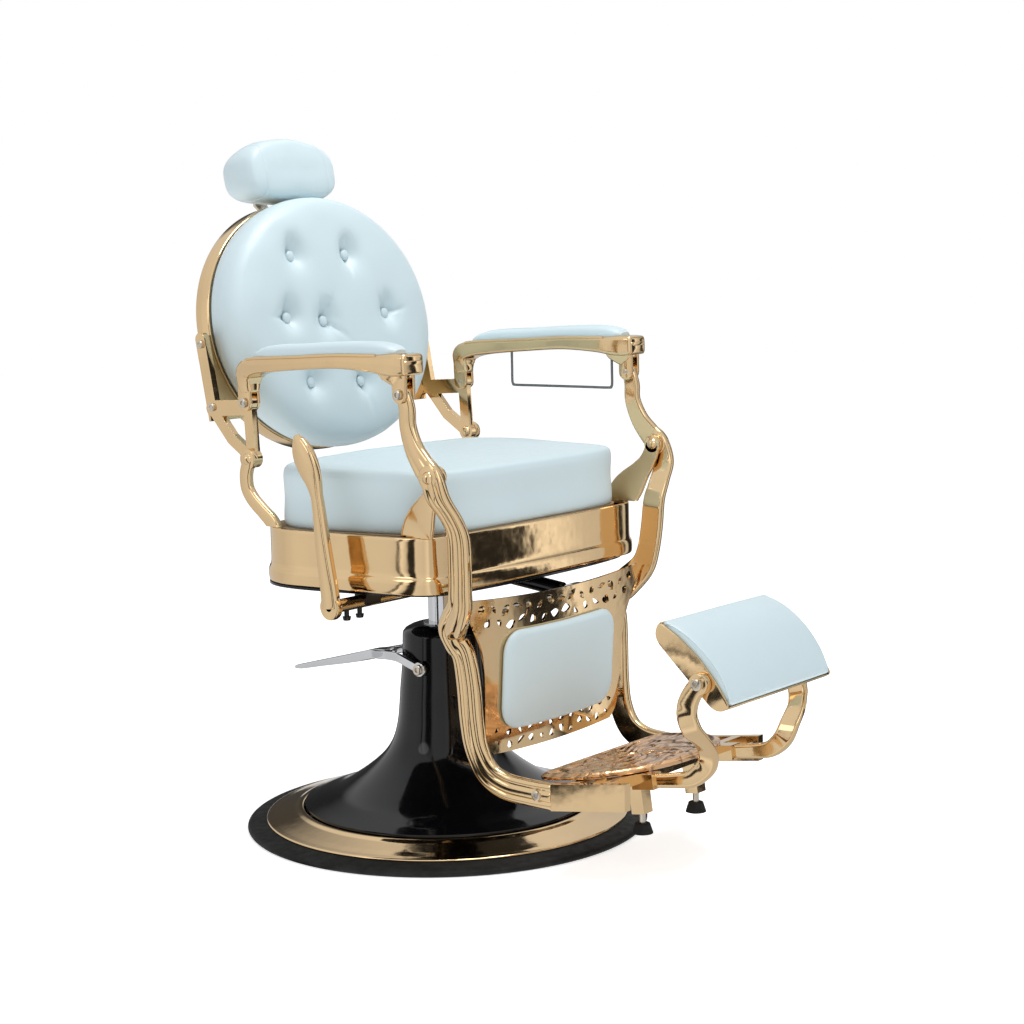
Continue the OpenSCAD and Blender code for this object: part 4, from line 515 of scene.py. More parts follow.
SIDE_GAP = 0.4
SEAT_GAP = 0.3
BACK_TILT = 10
HOOP_CENTRE = [0, 320, 846]
BACK_HALF = [244, 217]
BACK_PAD_REAR = 14.3
BACK_PAD_DEPTH = 93.7
BUTTON_SINK = 3
HEADREST_UP = 276
FRONT = [-243, 638]
REAR = [164, 646]
ARM_FRONT = [-188, 762]
ARM_REAR = [170, 738]
ARM_SPAN = 358
TOP_W = 295.5
PIVOT_W = 301.05
PUMP_PIN = [-15, 279]
LEVER_PIN = [-62, 428]
LEVER_X = 338.4
FOOT_W = 188
BACK_FRAME_X = 274
RIM_BOTTOM = 448
RIM_TOP = 538.5
FOOT_TILT = 8
FOOT_REAR = [0, -328, 162]
FLIP_ANGLE = 43.3
FLIP_PIN = [-628, 339]
FLIP_DEEP = 170
FLIP_HALF = 148
FLIP_DEPTH = 26
FLIP_BULGE = 24
PANEL_Y = -240
PANEL_BULGE = 9
PANEL_DROOP = 9
PANEL_HALF = 227.8
PANEL_LEAN = 4
PANEL_TURN = [0, PANEL_Y, 308]
RIM_SHARES = [
    (0, -1), (0.39, -0.985), (0.67, -0.945), (0.80, -0.885), (0.865, -0.775), (0.915, -0.54), (0.955, -0.27),
    (0.987, 0), (1, 0.28), (0.98, 0.52), (0.915, 0.716), (0.80, 0.852), (0.59, 0.937), (0.29, 0.983), (0, 1)]
# The band's front corners are squarer than the cushion's
BAND_SHARES = [
    (0, -1), (0.39, -0.995), (0.67, -0.98), (0.82, -0.955), (0.895, -0.885), (0.935, -0.73), (0.957, -0.45),
    (0.977, -0.12)] + RIM_SHARES[8:]
RIM, RIM_BAND = (loop_through([(306 * side * x, (222 if y < 0 else 176) * y)
                               for side, row in ((1, shares), (-1, shares[-2:0:-1])) for x, y in row], 10)
                 for shares in (RIM_SHARES, BAND_SHARES))
BUTTON_SHARES = np.array([
    (-0.38, 0.522), (0.168, 0.52), (-0.52, 0.034), (-0.172, -0.01), (0.492, 0.03), (-0.376, -0.488),
    (0.127, -0.513)])
# Creases in the back pad: the button each starts at, its direction in degrees, length and depth
CREASES = [(1, -97, 62, 3.2), (3, -38, 78, 3.6), (2, 178, 60, 3.0), (4, 8, 66, 3.2), (6, -78, 88, 2.8),
           (3, 112, 62, 2.6), (3, 62, 72, 2.6), (0, 105, 50, 3.0), (1, 120, 46, 3.0), (4, 128, 62, 3.4),
           (2, 92, 48, 2.4), (5, -112, 40, 1.8)]


def smooth_step(x):
    x = np.clip(x, 0, 1)
    return x * x * (3 - 2 * x)


def slack(points, height, wave):
    """How far slack cloth strays from its form: two products of crossed sines of the place, of the
    given height, the second half as high, on the given scale of length."""
    x, y, z = points[..., 0] / wave, points[..., 1] / wave, points[..., 2] / wave
    return height * (np.sin(2.1 * x + 1.3 * z + 0.4) * np.sin(1.7 * y - 0.8 * x + 1.1)
                     + 0.5 * np.sin(3.3 * z + 2.2 * y) * np.sin(2.9 * x - 1.2))


class ChairLooks(bpy.types.PropertyGroup):
    gold: bpy.props.FloatVectorProperty(
        name="Gold", description="Colour of the polished castings and bands", subtype="COLOR",
        default=(0.76, 0.55, 0.31), min=0, max=1)
    rose: bpy.props.FloatVectorProperty(
        name="Foot plate", description="Colour of the foot plate's relief", subtype="COLOR",
        default=(0.78, 0.47, 0.25), min=0, max=1)
    vinyl: bpy.props.FloatVectorProperty(
        name="Vinyl", description="Colour of the padded covers", subtype="COLOR",
        default=(0.595, 0.715, 0.755), min=0, max=1)


class ChairSizes(bpy.types.PropertyGroup):
    cushion_h: bpy.props.FloatProperty(
        name="Seat cushion", description="Height of the seat cushion's side", default=0.098,
        unit="LENGTH")
    crown: bpy.props.FloatProperty(
        name="Seat crown", description="Rise of the cushion's middle over its edge", default=0.018,
        unit="LENGTH")
    tuft: bpy.props.FloatProperty(
        name="Tuft depth", description="How deep the buttons pull into the back", default=0.016,
        unit="LENGTH")
    relief: bpy.props.FloatProperty(
        name="Plate relief", description="Height of the foot plate's raised leaves", default=0.0016,
        unit="LENGTH")


class ChairOperator:
    bl_options = {"REGISTER", "UNDO"}

    def execute(self, context):
        self.make(context.scene.chair_sizes, context.scene.chair_looks)
        return {"FINISHED"}


class CHAIR_OT_finishes(ChairOperator, bpy.types.Operator):
    """Makes the finishes and puts them on every CAD node"""
    bl_idname = "barber_chair.finishes"
    bl_label = "Finishes"

    def make(self, sizes, looks):
        gold = tuple(looks.gold)
        FINISHES.update(
            gold_polished=metal("polished gold plate", gold, 0.075, 0.0004),
            rose_gold_relief=leaf_relief(tuple(looks.rose)),
            vinyl_pale_blue=vinyl(tuple(looks.vinyl)),
            black_gloss=enamel(),
            rubber_dark=rubber(),
            steel=metal("bright steel", (0.62, 0.56, 0.47), 0.2, 0.0001, 0.00004),
            chrome=metal("polished chrome", (0.66, 0.67, 0.69), 0.08, 0.0001),
            wire_grey=metal("satin grey wire", (0.20, 0.21, 0.22), 0.32, 0.0001),
            plywood=plywood())
        for name, obj in frame["nodes"].items():
            obj.data.materials.clear()
            obj.data.materials.append(FINISHES[SLOTS[name]])


class CHAIR_OT_base(ChairOperator, bpy.types.Operator):
    """Turns the rubber ring, the trim ring and the bell as closed profiles of (radius, height) round
    the column. The bell's flare is the smooth curve through nine shares of its width and height"""
    bl_idname = "barber_chair.base"
    bl_label = "Base and Column"

    def make(self, sizes, looks):
        dressed("rubber_ring", "base_rubber_ring", [turned(eased([
            (285, 0), (341, 0), (345, 4), (345, 8), (341, 11), (311, 17), (300, 17), (300, 5),
            (285, 5)], 2.5), 200)])
        dressed("trim_ring", "base_trim_ring", [turned(eased([
            (300, 17.2), (311, 17.2), (312.5, 18.5), (311, 20.5), (302, 22.5), (290, 26), (264, 33),
            (256, 37), (250, 37), (248, 35.5), (248, 33.5)], 2.2), 200)])
        flare = curve_through([(part_way(70, 246, s), part_way(41.5, 329, h)) for s, h in [
            (1, 0), (0.90, 0.022), (0.66, 0.075), (0.36, 0.195), (0.165, 0.315), (0.075, 0.46), (0.035, 0.69),
            (0.012, 0.83), (0, 1)]], 8)
        shoulder = [(69, 333), (65, 338), (56, 343), (47, 346), (35, 346), (35, 336), (43, 336)]
        bell = np.vstack([[(241, 37.5), (246, 37.5)], flare, shoulder, flare[:0:-1] - 5, [(236, 39)]])
        dressed("bell", "column_bell", [turned(bell, 200)])
        length, rise = 370, 16
        prong_x, prong_wide, prong_thick, blade_thick, blade_wide = 80.6, 15, 7.4, 9, 28
        prong = [[prong_x * x, PUMP_PIN[0] + length * b, PUMP_PIN[1] + rise * u, prong_wide, prong_thick]
                 for b, x, u in [(0, 1, 0), (0.06, 1, 0.45), (0.14, 0.98, 0.95), (0.24, 0.82, 0.8),
                                 (0.34, 0.52, 0.35), (0.44, 0.2, -0.1), (0.5, 0.1, -0.45)]]
        blade = [[0, PUMP_PIN[0] + length * b, PUMP_PIN[1] + rise * u, blade_thick * w, blade_wide * t]
                 for b, u, w, t in [(0.38, 0.15, 1.2, 1), (0.46, -0.2, 1.9, 1.15), (0.6, -1, 1.75, 1.1),
                                    (0.8, -2.05, 1.3, 0.95), (0.93, -2.75, 1.05, 0.85),
                                    (0.985, -3.0, 0.8, 0.6), (1, -3.1, 0.6, 0.4)]]
        prongs = [swept(prong, 8, 2.6, end=0.6), boss(prong_x - 4, prong_x + 3.5, *PUMP_PIN, 12.5, 1.6)]
        dressed("pump_lever_bar", "pump_lever", [*prongs, *(mirrored(s) for s in prongs),
                                                 swept(blade, 8, 3.4, crown=1.2, end=1.5)])
        softened("pump_lever_pins", 0.8, socket=True)
        for node in ("pump_cylinder", "piston_rod", "base_bolts"):
            softened(node, 0.8)


class CHAIR_OT_seat(ChairOperator, bpy.types.Operator):
    """Sweeps the rim's section round the seat's outline, and builds the cushion from rings of the
    same outline: drawn in and out up its side, rounded over its edge, and on top shrunk by a share s
    and raised by crown (1 - s^2)"""
    bl_idname = "barber_chair.seat"
    bl_label = "Seat"

    def make(self, sizes, looks):
        section = eased([
            (-7, RIM_BOTTOM), (1, RIM_BOTTOM), (4, RIM_BOTTOM + 2.5), (5, RIM_BOTTOM + 9),
            (4.8, RIM_BOTTOM + 20), (3.4, RIM_BOTTOM + 25), (0.6, RIM_BOTTOM + 29), (0, RIM_BOTTOM + 36),
            (0, RIM_TOP - 3), (-1.2, RIM_TOP), (-7, RIM_TOP)], 4, 6)
        dressed("rim", "seat_rim", [torus([
            np.column_stack([grown(RIM_BAND, d), np.full(len(RIM_BAND), z)]) for d, z in section])])

        h, crown = sizes.cushion_h / MM, sizes.crown / MM
        low, inset, middle = RIM_TOP + SEAT_GAP, 18, np.array([0, -9])
        edge = grown(RIM, -inset)
        side = curve_through([(5, 0), (1.2, 0.05), (0, 0.18), (1.6, 0.5), (0.2, 0.8), (1.0, 0.9),
                              (3.6, 0.965), (9, 1)], 5)
        ring = lambda outline, z: np.column_stack([middle + outline, np.full(len(edge), z)])
        rings = [ring(grown(edge, -d), low + h * k) for d, k in side]
        rings += [ring(grown(edge, -9) * s, low + h + crown * (1 - s * s))
                  for s in np.linspace(0.985, 0.015, 40)]
        rings = np.array(rings)
        pull = slack(rings, 1.1, 62) * smooth_step((rings[..., 2] - low) / 20)
        way = rings - [*middle, low + 40]
        rings += way / np.linalg.norm(way, axis=-1, keepdims=True) * pull[..., None]
        dressed("seat_cover", "seat_cushion", [skin(rings)])

        bracket = [[part_way(270, 285.5, w), part_way(-186, FRONT[0], f), part_way(RIM_TOP, FRONT[1], u),
                    29 * k, 7]
                   for u, f, w, k in [(-0.12, -0.04, 0, 2.35), (0.12, 0.07, 0.15, 2.15),
                                      (0.32, 0.3, 0.5, 1.9), (0.52, 0.56, 0.85, 1.35), (0.67, 0.76, 1, 1.1),
                                      (0.85, 0.93, 1, 1), (1, 1, 1, 0.95)]]
        post = [[part_way(286, 285.4, i), part_way(110, REAR[0], b), part_way(RIM_TOP, REAR[1], u), 24 * k,
                 11.5]
                for u, b, i, k in [(-0.12, -0.1, 0, 1.25), (0.06, 0.08, 0.05, 1.1), (0.2, 0.42, 0.25, 1),
                                   (0.38, 0.86, 0.6, 1), (0.55, 1.1, 0.85, 1), (0.75, 1.14, 1, 1),
                                   (0.9, 1.06, 1, 1), (1, 1, 1, 1)]]
        for name, stations, corner, crown, x, pin, r in (
                ("front_bracket", bracket, 2.4, 1.2, 287, FRONT, 16),
                ("rear_post", post, 3.4, 1.0, 285.4, REAR, 17)):
            pair(name, name, [stood(swept(stations, 8, corner, crown=crown, end=1.5), RIM_TOP),
                              boss(x - 5, x + 5, *pin, r)])
        for node, width in (("seat_frame", 1.5), ("pivot_bolts", 0.6), ("lever_tube", 0.8),
                            ("lever_tube_bolts", 0.5)):
            softened(node, width)


class CHAIR_OT_levers(ChairOperator, bpy.types.Operator):
    """Sweeps the recline lever through stations from its foot up to its spoon, and softens the strut"""
    bl_idname = "barber_chair.levers"
    bl_label = "Lever and Strut"

    def make(self, sizes, looks):
        stations = [[LEVER_X, LEVER_PIN[0] + 62 * lean, LEVER_PIN[1] + 266 * up, 34 * w, 12 * t]
                    for up, lean, w, t in [
            (0, 0, 1, 1), (0.1, 0.04, 0.95, 1), (0.35, 0.2, 0.8, 1), (0.58, 0.32, 0.66, 0.9),
            (0.65, 0.37, 0.64, 0.85), (0.72, 0.44, 0.82, 0.9), (0.79, 0.56, 1.08, 1), (0.86, 0.71, 1.2, 1.05),
            (0.92, 0.84, 1.08, 1), (0.97, 0.94, 0.75, 0.8), (1, 1, 0.35, 0.6)]]
        dressed("lever", "recline_lever", [mirrored(part) for part in (
            swept(stations, 9, 3.0, crown=2.6, end=2.5),
            boss(LEVER_X - 6, LEVER_X + 6, *LEVER_PIN, 20, 2.5))])
        for node in ("strut_cylinder", "strut_rod", "recline_shaft"):
            softened(node, 0.8)


class CHAIR_OT_leg_rest(ChairOperator, bpy.types.Operator):
    """Sweeps the side castings from the arm's pin to the foot, with two grooves down their outer face,
    cuts the calf panel's leaves, and lays the calf pad's rings on the bulging panel"""
    bl_idname = "barber_chair.leg_rest"
    bl_label = "Leg Rest"

    def make(self, sizes, looks):
        rise, setback = ARM_FRONT[1] - FRONT[1], ARM_FRONT[0] - FRONT[0]
        stations = [[part_way(PIVOT_W, TOP_W, min(1, 2 * u)), FRONT[0] + setback * b, FRONT[1] + rise * u,
                     42 * w, 12 if u == 1 else 13.2, g]
                    for u, b, w, g in [(1, 1, 0.62, 0), (0.823, 0.89, 0.66, 0), (0.6, 0.87, 0.68, 0),
                                       (0.34, 0.64, 0.78, 0.1), (0.137, 0.29, 0.92, 0.5)]]
        stations += [[part_way(FOOT_W, TOP_W, s), FRONT[0] - 275 * f, FRONT[1] - 500 * d, 42 * w, 15, 1]
                     for s, f, d, w in [
            (1.05, 0, 0, 0.98), (1.035, 0.047, 0.066, 0.92), (0.84, 0.064, 0.126, 0.9),
            (0.69, 0.065, 0.186, 0.92), (0.645, 0.057, 0.276, 0.95), (0.6, 0.041, 0.356, 0.97),
            (0.53, 0.01, 0.416, 1.08), (0.41, -0.072, 0.47, 1.22), (0.31, -0.128, 0.508, 1.2),
            (0.21, -0.13, 0.544, 1.02), (0.155, -0.092, 0.586, 0.96), (0.11, -0.077, 0.676, 1),
            (0.085, -0.067, 0.796, 1), (0.065, -0.041, 0.886, 1), (0.04, 0.031, 0.958, 1.02),
            (0.015, 0.149, 0.992, 1.02), (0, 0.313, 1, 1), (0, 0.487, 1, 1)]]
        pair("side_casting", "side_casting", [
            swept(stations, 9, 4.2, flute=2.5, crown=1.6, end=0.5),
            boss(TOP_W - 6, TOP_W + 6, *ARM_FRONT, 13),
            boss(PIVOT_W - 8.6, PIVOT_W + 8.6, *FRONT, 19, 2.5)])

        obj = piece("pierced_panel", [on_panel(self.panel())], "gold_polished", BODIES["calf_panel"],
                    ("calf_panel",), 34)
        bevelled(obj, 0.5, 1, 50)
        self.lugs()

        outline = evened(rounded_box(146, 81, 38), 6)
        rows = curve_through([
            (0.15, 0), (0.5, 0), (0.8, 0), (0.965, 0), (1, 0.2), (0.995, 0.5), (0.955, 0.78), (0.88, 0.97),
            (0.66, 1.12), (0.36, 1.19), (0.05, 1.21)], 6)
        x = outline[:, 0] * rows[:, :1]
        depth, droop = panel_bend(x)
        middle_z, thick = 303, 14
        pad = np.stack([x, depth - SEAT_GAP - thick * rows[:, 1:],
                        middle_z + outline[:, 1] * rows[:, :1] - droop], -1)
        dressed("calf_cover", "calf_pad", [on_panel(skin(pad))])

        for node in ("foot_rail_right", "foot_rail_left", "foot_plate_frame"):
            softened(node, 2.2)
        for node in ("bumper_feet", "leg_cross_rods"):
            softened(node, 0.7)
        for node in ("foot_rest_pins", "arm_front_pins"):
            softened(node, 0.7, socket=True)

    def leaf_holes(self, low, high):
        """Closed outlines of pointed leaves in rows across the panel: long t by wide (1 - |t|^1.8), bent by
        2.2 (1 - t^2), and turned and sized by sines of their count from the middle"""
        holes = []
        t = np.linspace(-1, 1, 13)
        for row, (level, reach, count, length, width) in enumerate([
                (0.932, 0.93, 15, 12, 6), (0.842, 0.87, 14, 11.5, 6), (0.056, 0.69, 12, 10, 5),
                (0.136, 0.72, 12, 10, 5)]):
            for share in (2 * np.arange(count) + 1) / count - 1:
                k, side = abs(share) * count / 2, 1 if share > 0 else -1
                long = length * (0.85 + 0.25 * math.sin(1.7 * k + row))
                wide = width * (0.95 + 0.3 * math.sin(2.9 * k + 0.6 * row))
                bow = 2.2 * (1 - t * t) * math.sin(3.1 * k) * side
                belly = wide * (1 - np.abs(t) ** 1.8)
                leaf = np.vstack([np.column_stack([long * t, bow + belly]),
                                  np.column_stack([long * t, bow - belly])[-2:0:-1]])
                c, n = turn_of(52 * math.sin(2.3 * k + 1.9 * row) * side)
                middle = [reach * PANEL_HALF * share,
                          part_way(low, high, level + 0.012 * math.sin(2.1 * k + row))]
                holes.append(leaf @ np.array([[c, n], [-n, c]]) + middle)
        return holes

    def panel(self):
        """The panel's outline and its holes, joined by triangles in the flat, then bent, let down and given
        its thickness, with walls along every side that only one triangle has"""
        low, high, thick = 184, 438, 4
        side = curve_through([
            (0.684, 0), (0.75, 0.05), (0.783, 0.13), (0.797, 0.3), (0.811, 0.5), (0.835, 0.64), (0.868, 0.72),
            (0.92, 0.8), (0.972, 0.88), (1, 0.95), (0.995, 1)], 6) * [PANEL_HALF, 1]
        edge = np.vstack([side, side[::-1] * [-1, 1]])
        edge[:, 1] = part_way(low, high, edge[:, 1])
        loops = [evened(edge, 7), *self.leaf_holes(low, high)]
        x, z = np.meshgrid(np.arange(6 - PANEL_HALF, PANEL_HALF, 12), np.arange(low + 6, high, 24))
        points = np.vstack([*loops, np.column_stack([x.ravel(), z.ravel()])])
        at = np.cumsum([0] + [len(loop) for loop in loops])
        edges = [(int(a + i), int(a + (i + 1) % len(loop)))
                 for a, loop in zip(at, loops) for i in range(len(loop))]
        flat, _, faces, *_ = delaunay_2d_cdt([Vector(p) for p in points.tolist()], edges, [], 0, 1e-5)
        flat = np.array([tuple(p) for p in flat])
        faces = np.array([f for f in faces if len(f) == 3])
        middle = flat[faces].mean(1)
        keep = inside(middle, loops[0])
        for hole in loops[1:]:
            keep &= ~inside(middle, hole)
        used = np.unique(faces[keep])
        flat, faces = flat[used], np.searchsorted(used, faces[keep])
        depth, droop = panel_bend(flat[:, 0])
        sheet = np.column_stack([flat[:, 0], depth, flat[:, 1] - droop])
        a, b, c = (sheet[faces[:, k]] for k in range(3))
        if np.cross(b - a, c - a)[:, 1].sum() > 0:
            faces = faces[:, ::-1]
        sides = np.concatenate([faces[:, [0, 1]], faces[:, [1, 2]], faces[:, [2, 0]]])
        _, first, count = np.unique(np.sort(sides, 1), axis=0, return_index=True, return_counts=True)
        rim, n = sides[first[count == 1]], len(sheet)
        wall = np.column_stack([rim[:, 1], rim[:, 0], rim[:, 0] + n, rim[:, 1] + n])
        return np.vstack([sheet, sheet + [0, thick, 0]]), [faces, faces[:, ::-1] + n, wall]

    def lugs(self):
        """The bosses that carry the panel on both cross rods, each with a block to the panel's back"""
        shapes = []
        for y, z, end in ((-205, 400, -250), (-224, 214, -237)):
            block = evened(np.array([(end, z - 7), (y, z - 7), (y, z + 7), (end, z + 7)], float), 6)
            for x in (-138, 138):
                shapes += [boss(x - 11, x + 11, y, z, 14), prism_x(block, x - 11, x + 11, 0.8)]
        piece("panel_lugs", shapes, "gold_polished", BODIES["calf_panel"])


class CHAIR_OT_foot_plate(ChairOperator, bpy.types.Operator):
    """Raises the foot plate's face over rings of its outline at share s and angle a: a rolled rim at
    s = 0.94, and inside it flat-topped scrolls where (1 + sin(7 a + 9 s) sin(16 s - 3 sin 4a)) / 2 is
    over about a third"""
    bl_idname = "barber_chair.foot_plate"
    bl_label = "Foot Plate"

    def make(self, sizes, looks):
        half, depth, thick, roll = 172, 190, 9, 2.2
        shares = [(0, 0), (0.5, 0), (0.86, -0.012), (0.975, -0.06), (1, -0.2), (0.985, -0.42), (0.9, -0.62),
                  (0.7, -0.82), (0.38, -0.96), (0, -1)]
        outline = evened(loop_through([(half * x, depth * y) for x, y in shares[::-1]]
                                      + [(-half * x, depth * y) for x, y in shares[1:-1]], 8), 3)
        middle = np.array([0, -depth * 0.42])
        reach = outline - middle
        s = np.concatenate([np.linspace(0.01, 0.86, 60), np.linspace(0.87, 1, 16)])[::-1, None]
        a = np.arctan2(reach[:, 1], reach[:, 0])[None]
        scroll = (1 + np.sin(7 * a + 9 * s) * np.sin(16 * s - 3 * np.sin(4 * a))) / 2
        face = (sizes.relief / MM * smooth_step((scroll - 0.35) * 3) * smooth_step((0.86 - s) * 20)
                * smooth_step(s * 6))
        face += roll * np.exp(-(((s - 0.94) / 0.045) ** 2)) - roll * smooth_step((s - 0.955) / 0.045)
        top = np.concatenate([middle + reach * s[..., None], face[..., None] - 1.2], -1)
        side = [np.column_stack([middle + reach * k, np.full(len(outline), z)]) for k, z in [
            (0.5, -thick), (0.985, -thick), (0.998, -thick + 1.2), (1, -thick + 3), (1, -4.5)]]
        dressed("foot_plate_relief", "foot_plate", [on_foot_rest(skin(np.concatenate([side, top])))])


class CHAIR_OT_flip_pad(ChairOperator, bpy.types.Operator):
    """Sweeps the two S-shaped arms, carries the flip pad's tray along X as one closed section with an
    end plate each side, and fills it with a cushion whose section swells towards its middle"""
    bl_idname = "barber_chair.flip_pad"
    bl_label = "Flip Pad"

    def make(self, sizes, looks):
        reach, drop = 111.85, 171.56
        stations = [[part_way(155.9, 111, i), FLIP_PIN[0] + reach * b, FLIP_PIN[1] - drop * d, 33 * w, 13]
                    for i, b, d, w in [
            (0, 0, 0, 0.85), (0, 0.11, 0.09, 0.9), (0, 0.19, 0.2, 0.97), (0, 0.2, 0.31, 1),
            (0.1, 0.15, 0.43, 1), (0.46, 0.1, 0.54, 1), (0.85, 0.105, 0.66, 0.98), (1, 0.15, 0.77, 0.96),
            (1, 0.26, 0.86, 0.9), (1, 0.42, 0.93, 0.8), (1, 0.7, 0.97, 0.7), (1, 1, 1, 0.66)]]
        pair("s_arm", "s_arm", [swept(stations, 8, 4.0, crown=1.0, end=0.5),
                                boss(149.4, 162.4, *FLIP_PIN, 16.5, 2.2)])

        w, d, b, wall = FLIP_DEEP, FLIP_DEPTH, FLIP_BULGE, 4
        under = [(0, -2), (-w * 0.04, -d * 0.75), (-w * 0.12, -d), (-w * 0.88, -d), (-w * 0.96, -d * 0.75),
                 (-w, -2)]
        plate = under + [(-w * k, b * up) for k, up in [(0.93, 0.1), (0.75, 0.38), (0.5, 0.52), (0.25, 0.38),
                                                        (0.07, 0.1)]]
        tray = under + [(3 - w, -2), (-w * 0.96 + 3, -d * 0.75 + 2), (-w * 0.88 + 2, -d + 3),
                        (-w * 0.12 - 2, -d + 3), (-w * 0.04 - 3, -d * 0.75 + 2), (-3, -2)]
        end = evened(eased(plate, 9, 6), 5)
        dressed("flip_tray", "flip_pad_shell", [on_flip_pad(s) for s in (
            prism_x(evened(eased(tray, 5, 5)[::-1], 5), wall - FLIP_HALF, FLIP_HALF - wall, 0.3),
            prism_x(end, FLIP_HALF - wall, FLIP_HALF, 1.0), prism_x(end, -FLIP_HALF, wall - FLIP_HALF, 1.0))])

        swell = curve_through([(-1, 0.72), (-0.99, 0.88), (-0.95, 1), (-0.6, 1.2), (0, 1.32), (0.6, 1.2),
                               (0.95, 1), (0.99, 0.88), (1, 0.72)], 8)
        dome = curve_through([(-0.95, -0.5), (-0.98, 0.05), (-0.93, 0.35), (-0.8, 0.72), (-0.65, 0.93),
                              (-0.5, 1), (-0.35, 0.93), (-0.2, 0.72), (-0.07, 0.35), (-0.02, 0.05),
                              (-0.05, -0.5)], 7)
        dome = np.vstack([dome, [(-0.14, -0.94), (-0.86, -0.94)]])
        k = swell[:, 1:]
        u = w * part_way(-0.5, dome[:, 0], np.minimum(k, 1))
        v = b * dome[:, 1] * k
        half = FLIP_HALF - wall - SEAT_GAP
        rings = np.stack([half * swell[:, :1] + 0 * u, u, v], -1)
        rings[..., 2] += slack(rings, 0.8, 40) * (dome[:, 1] > 0.3)
        dressed("flip_cover", "flip_pad_cushion", [on_flip_pad(skin(rings))])


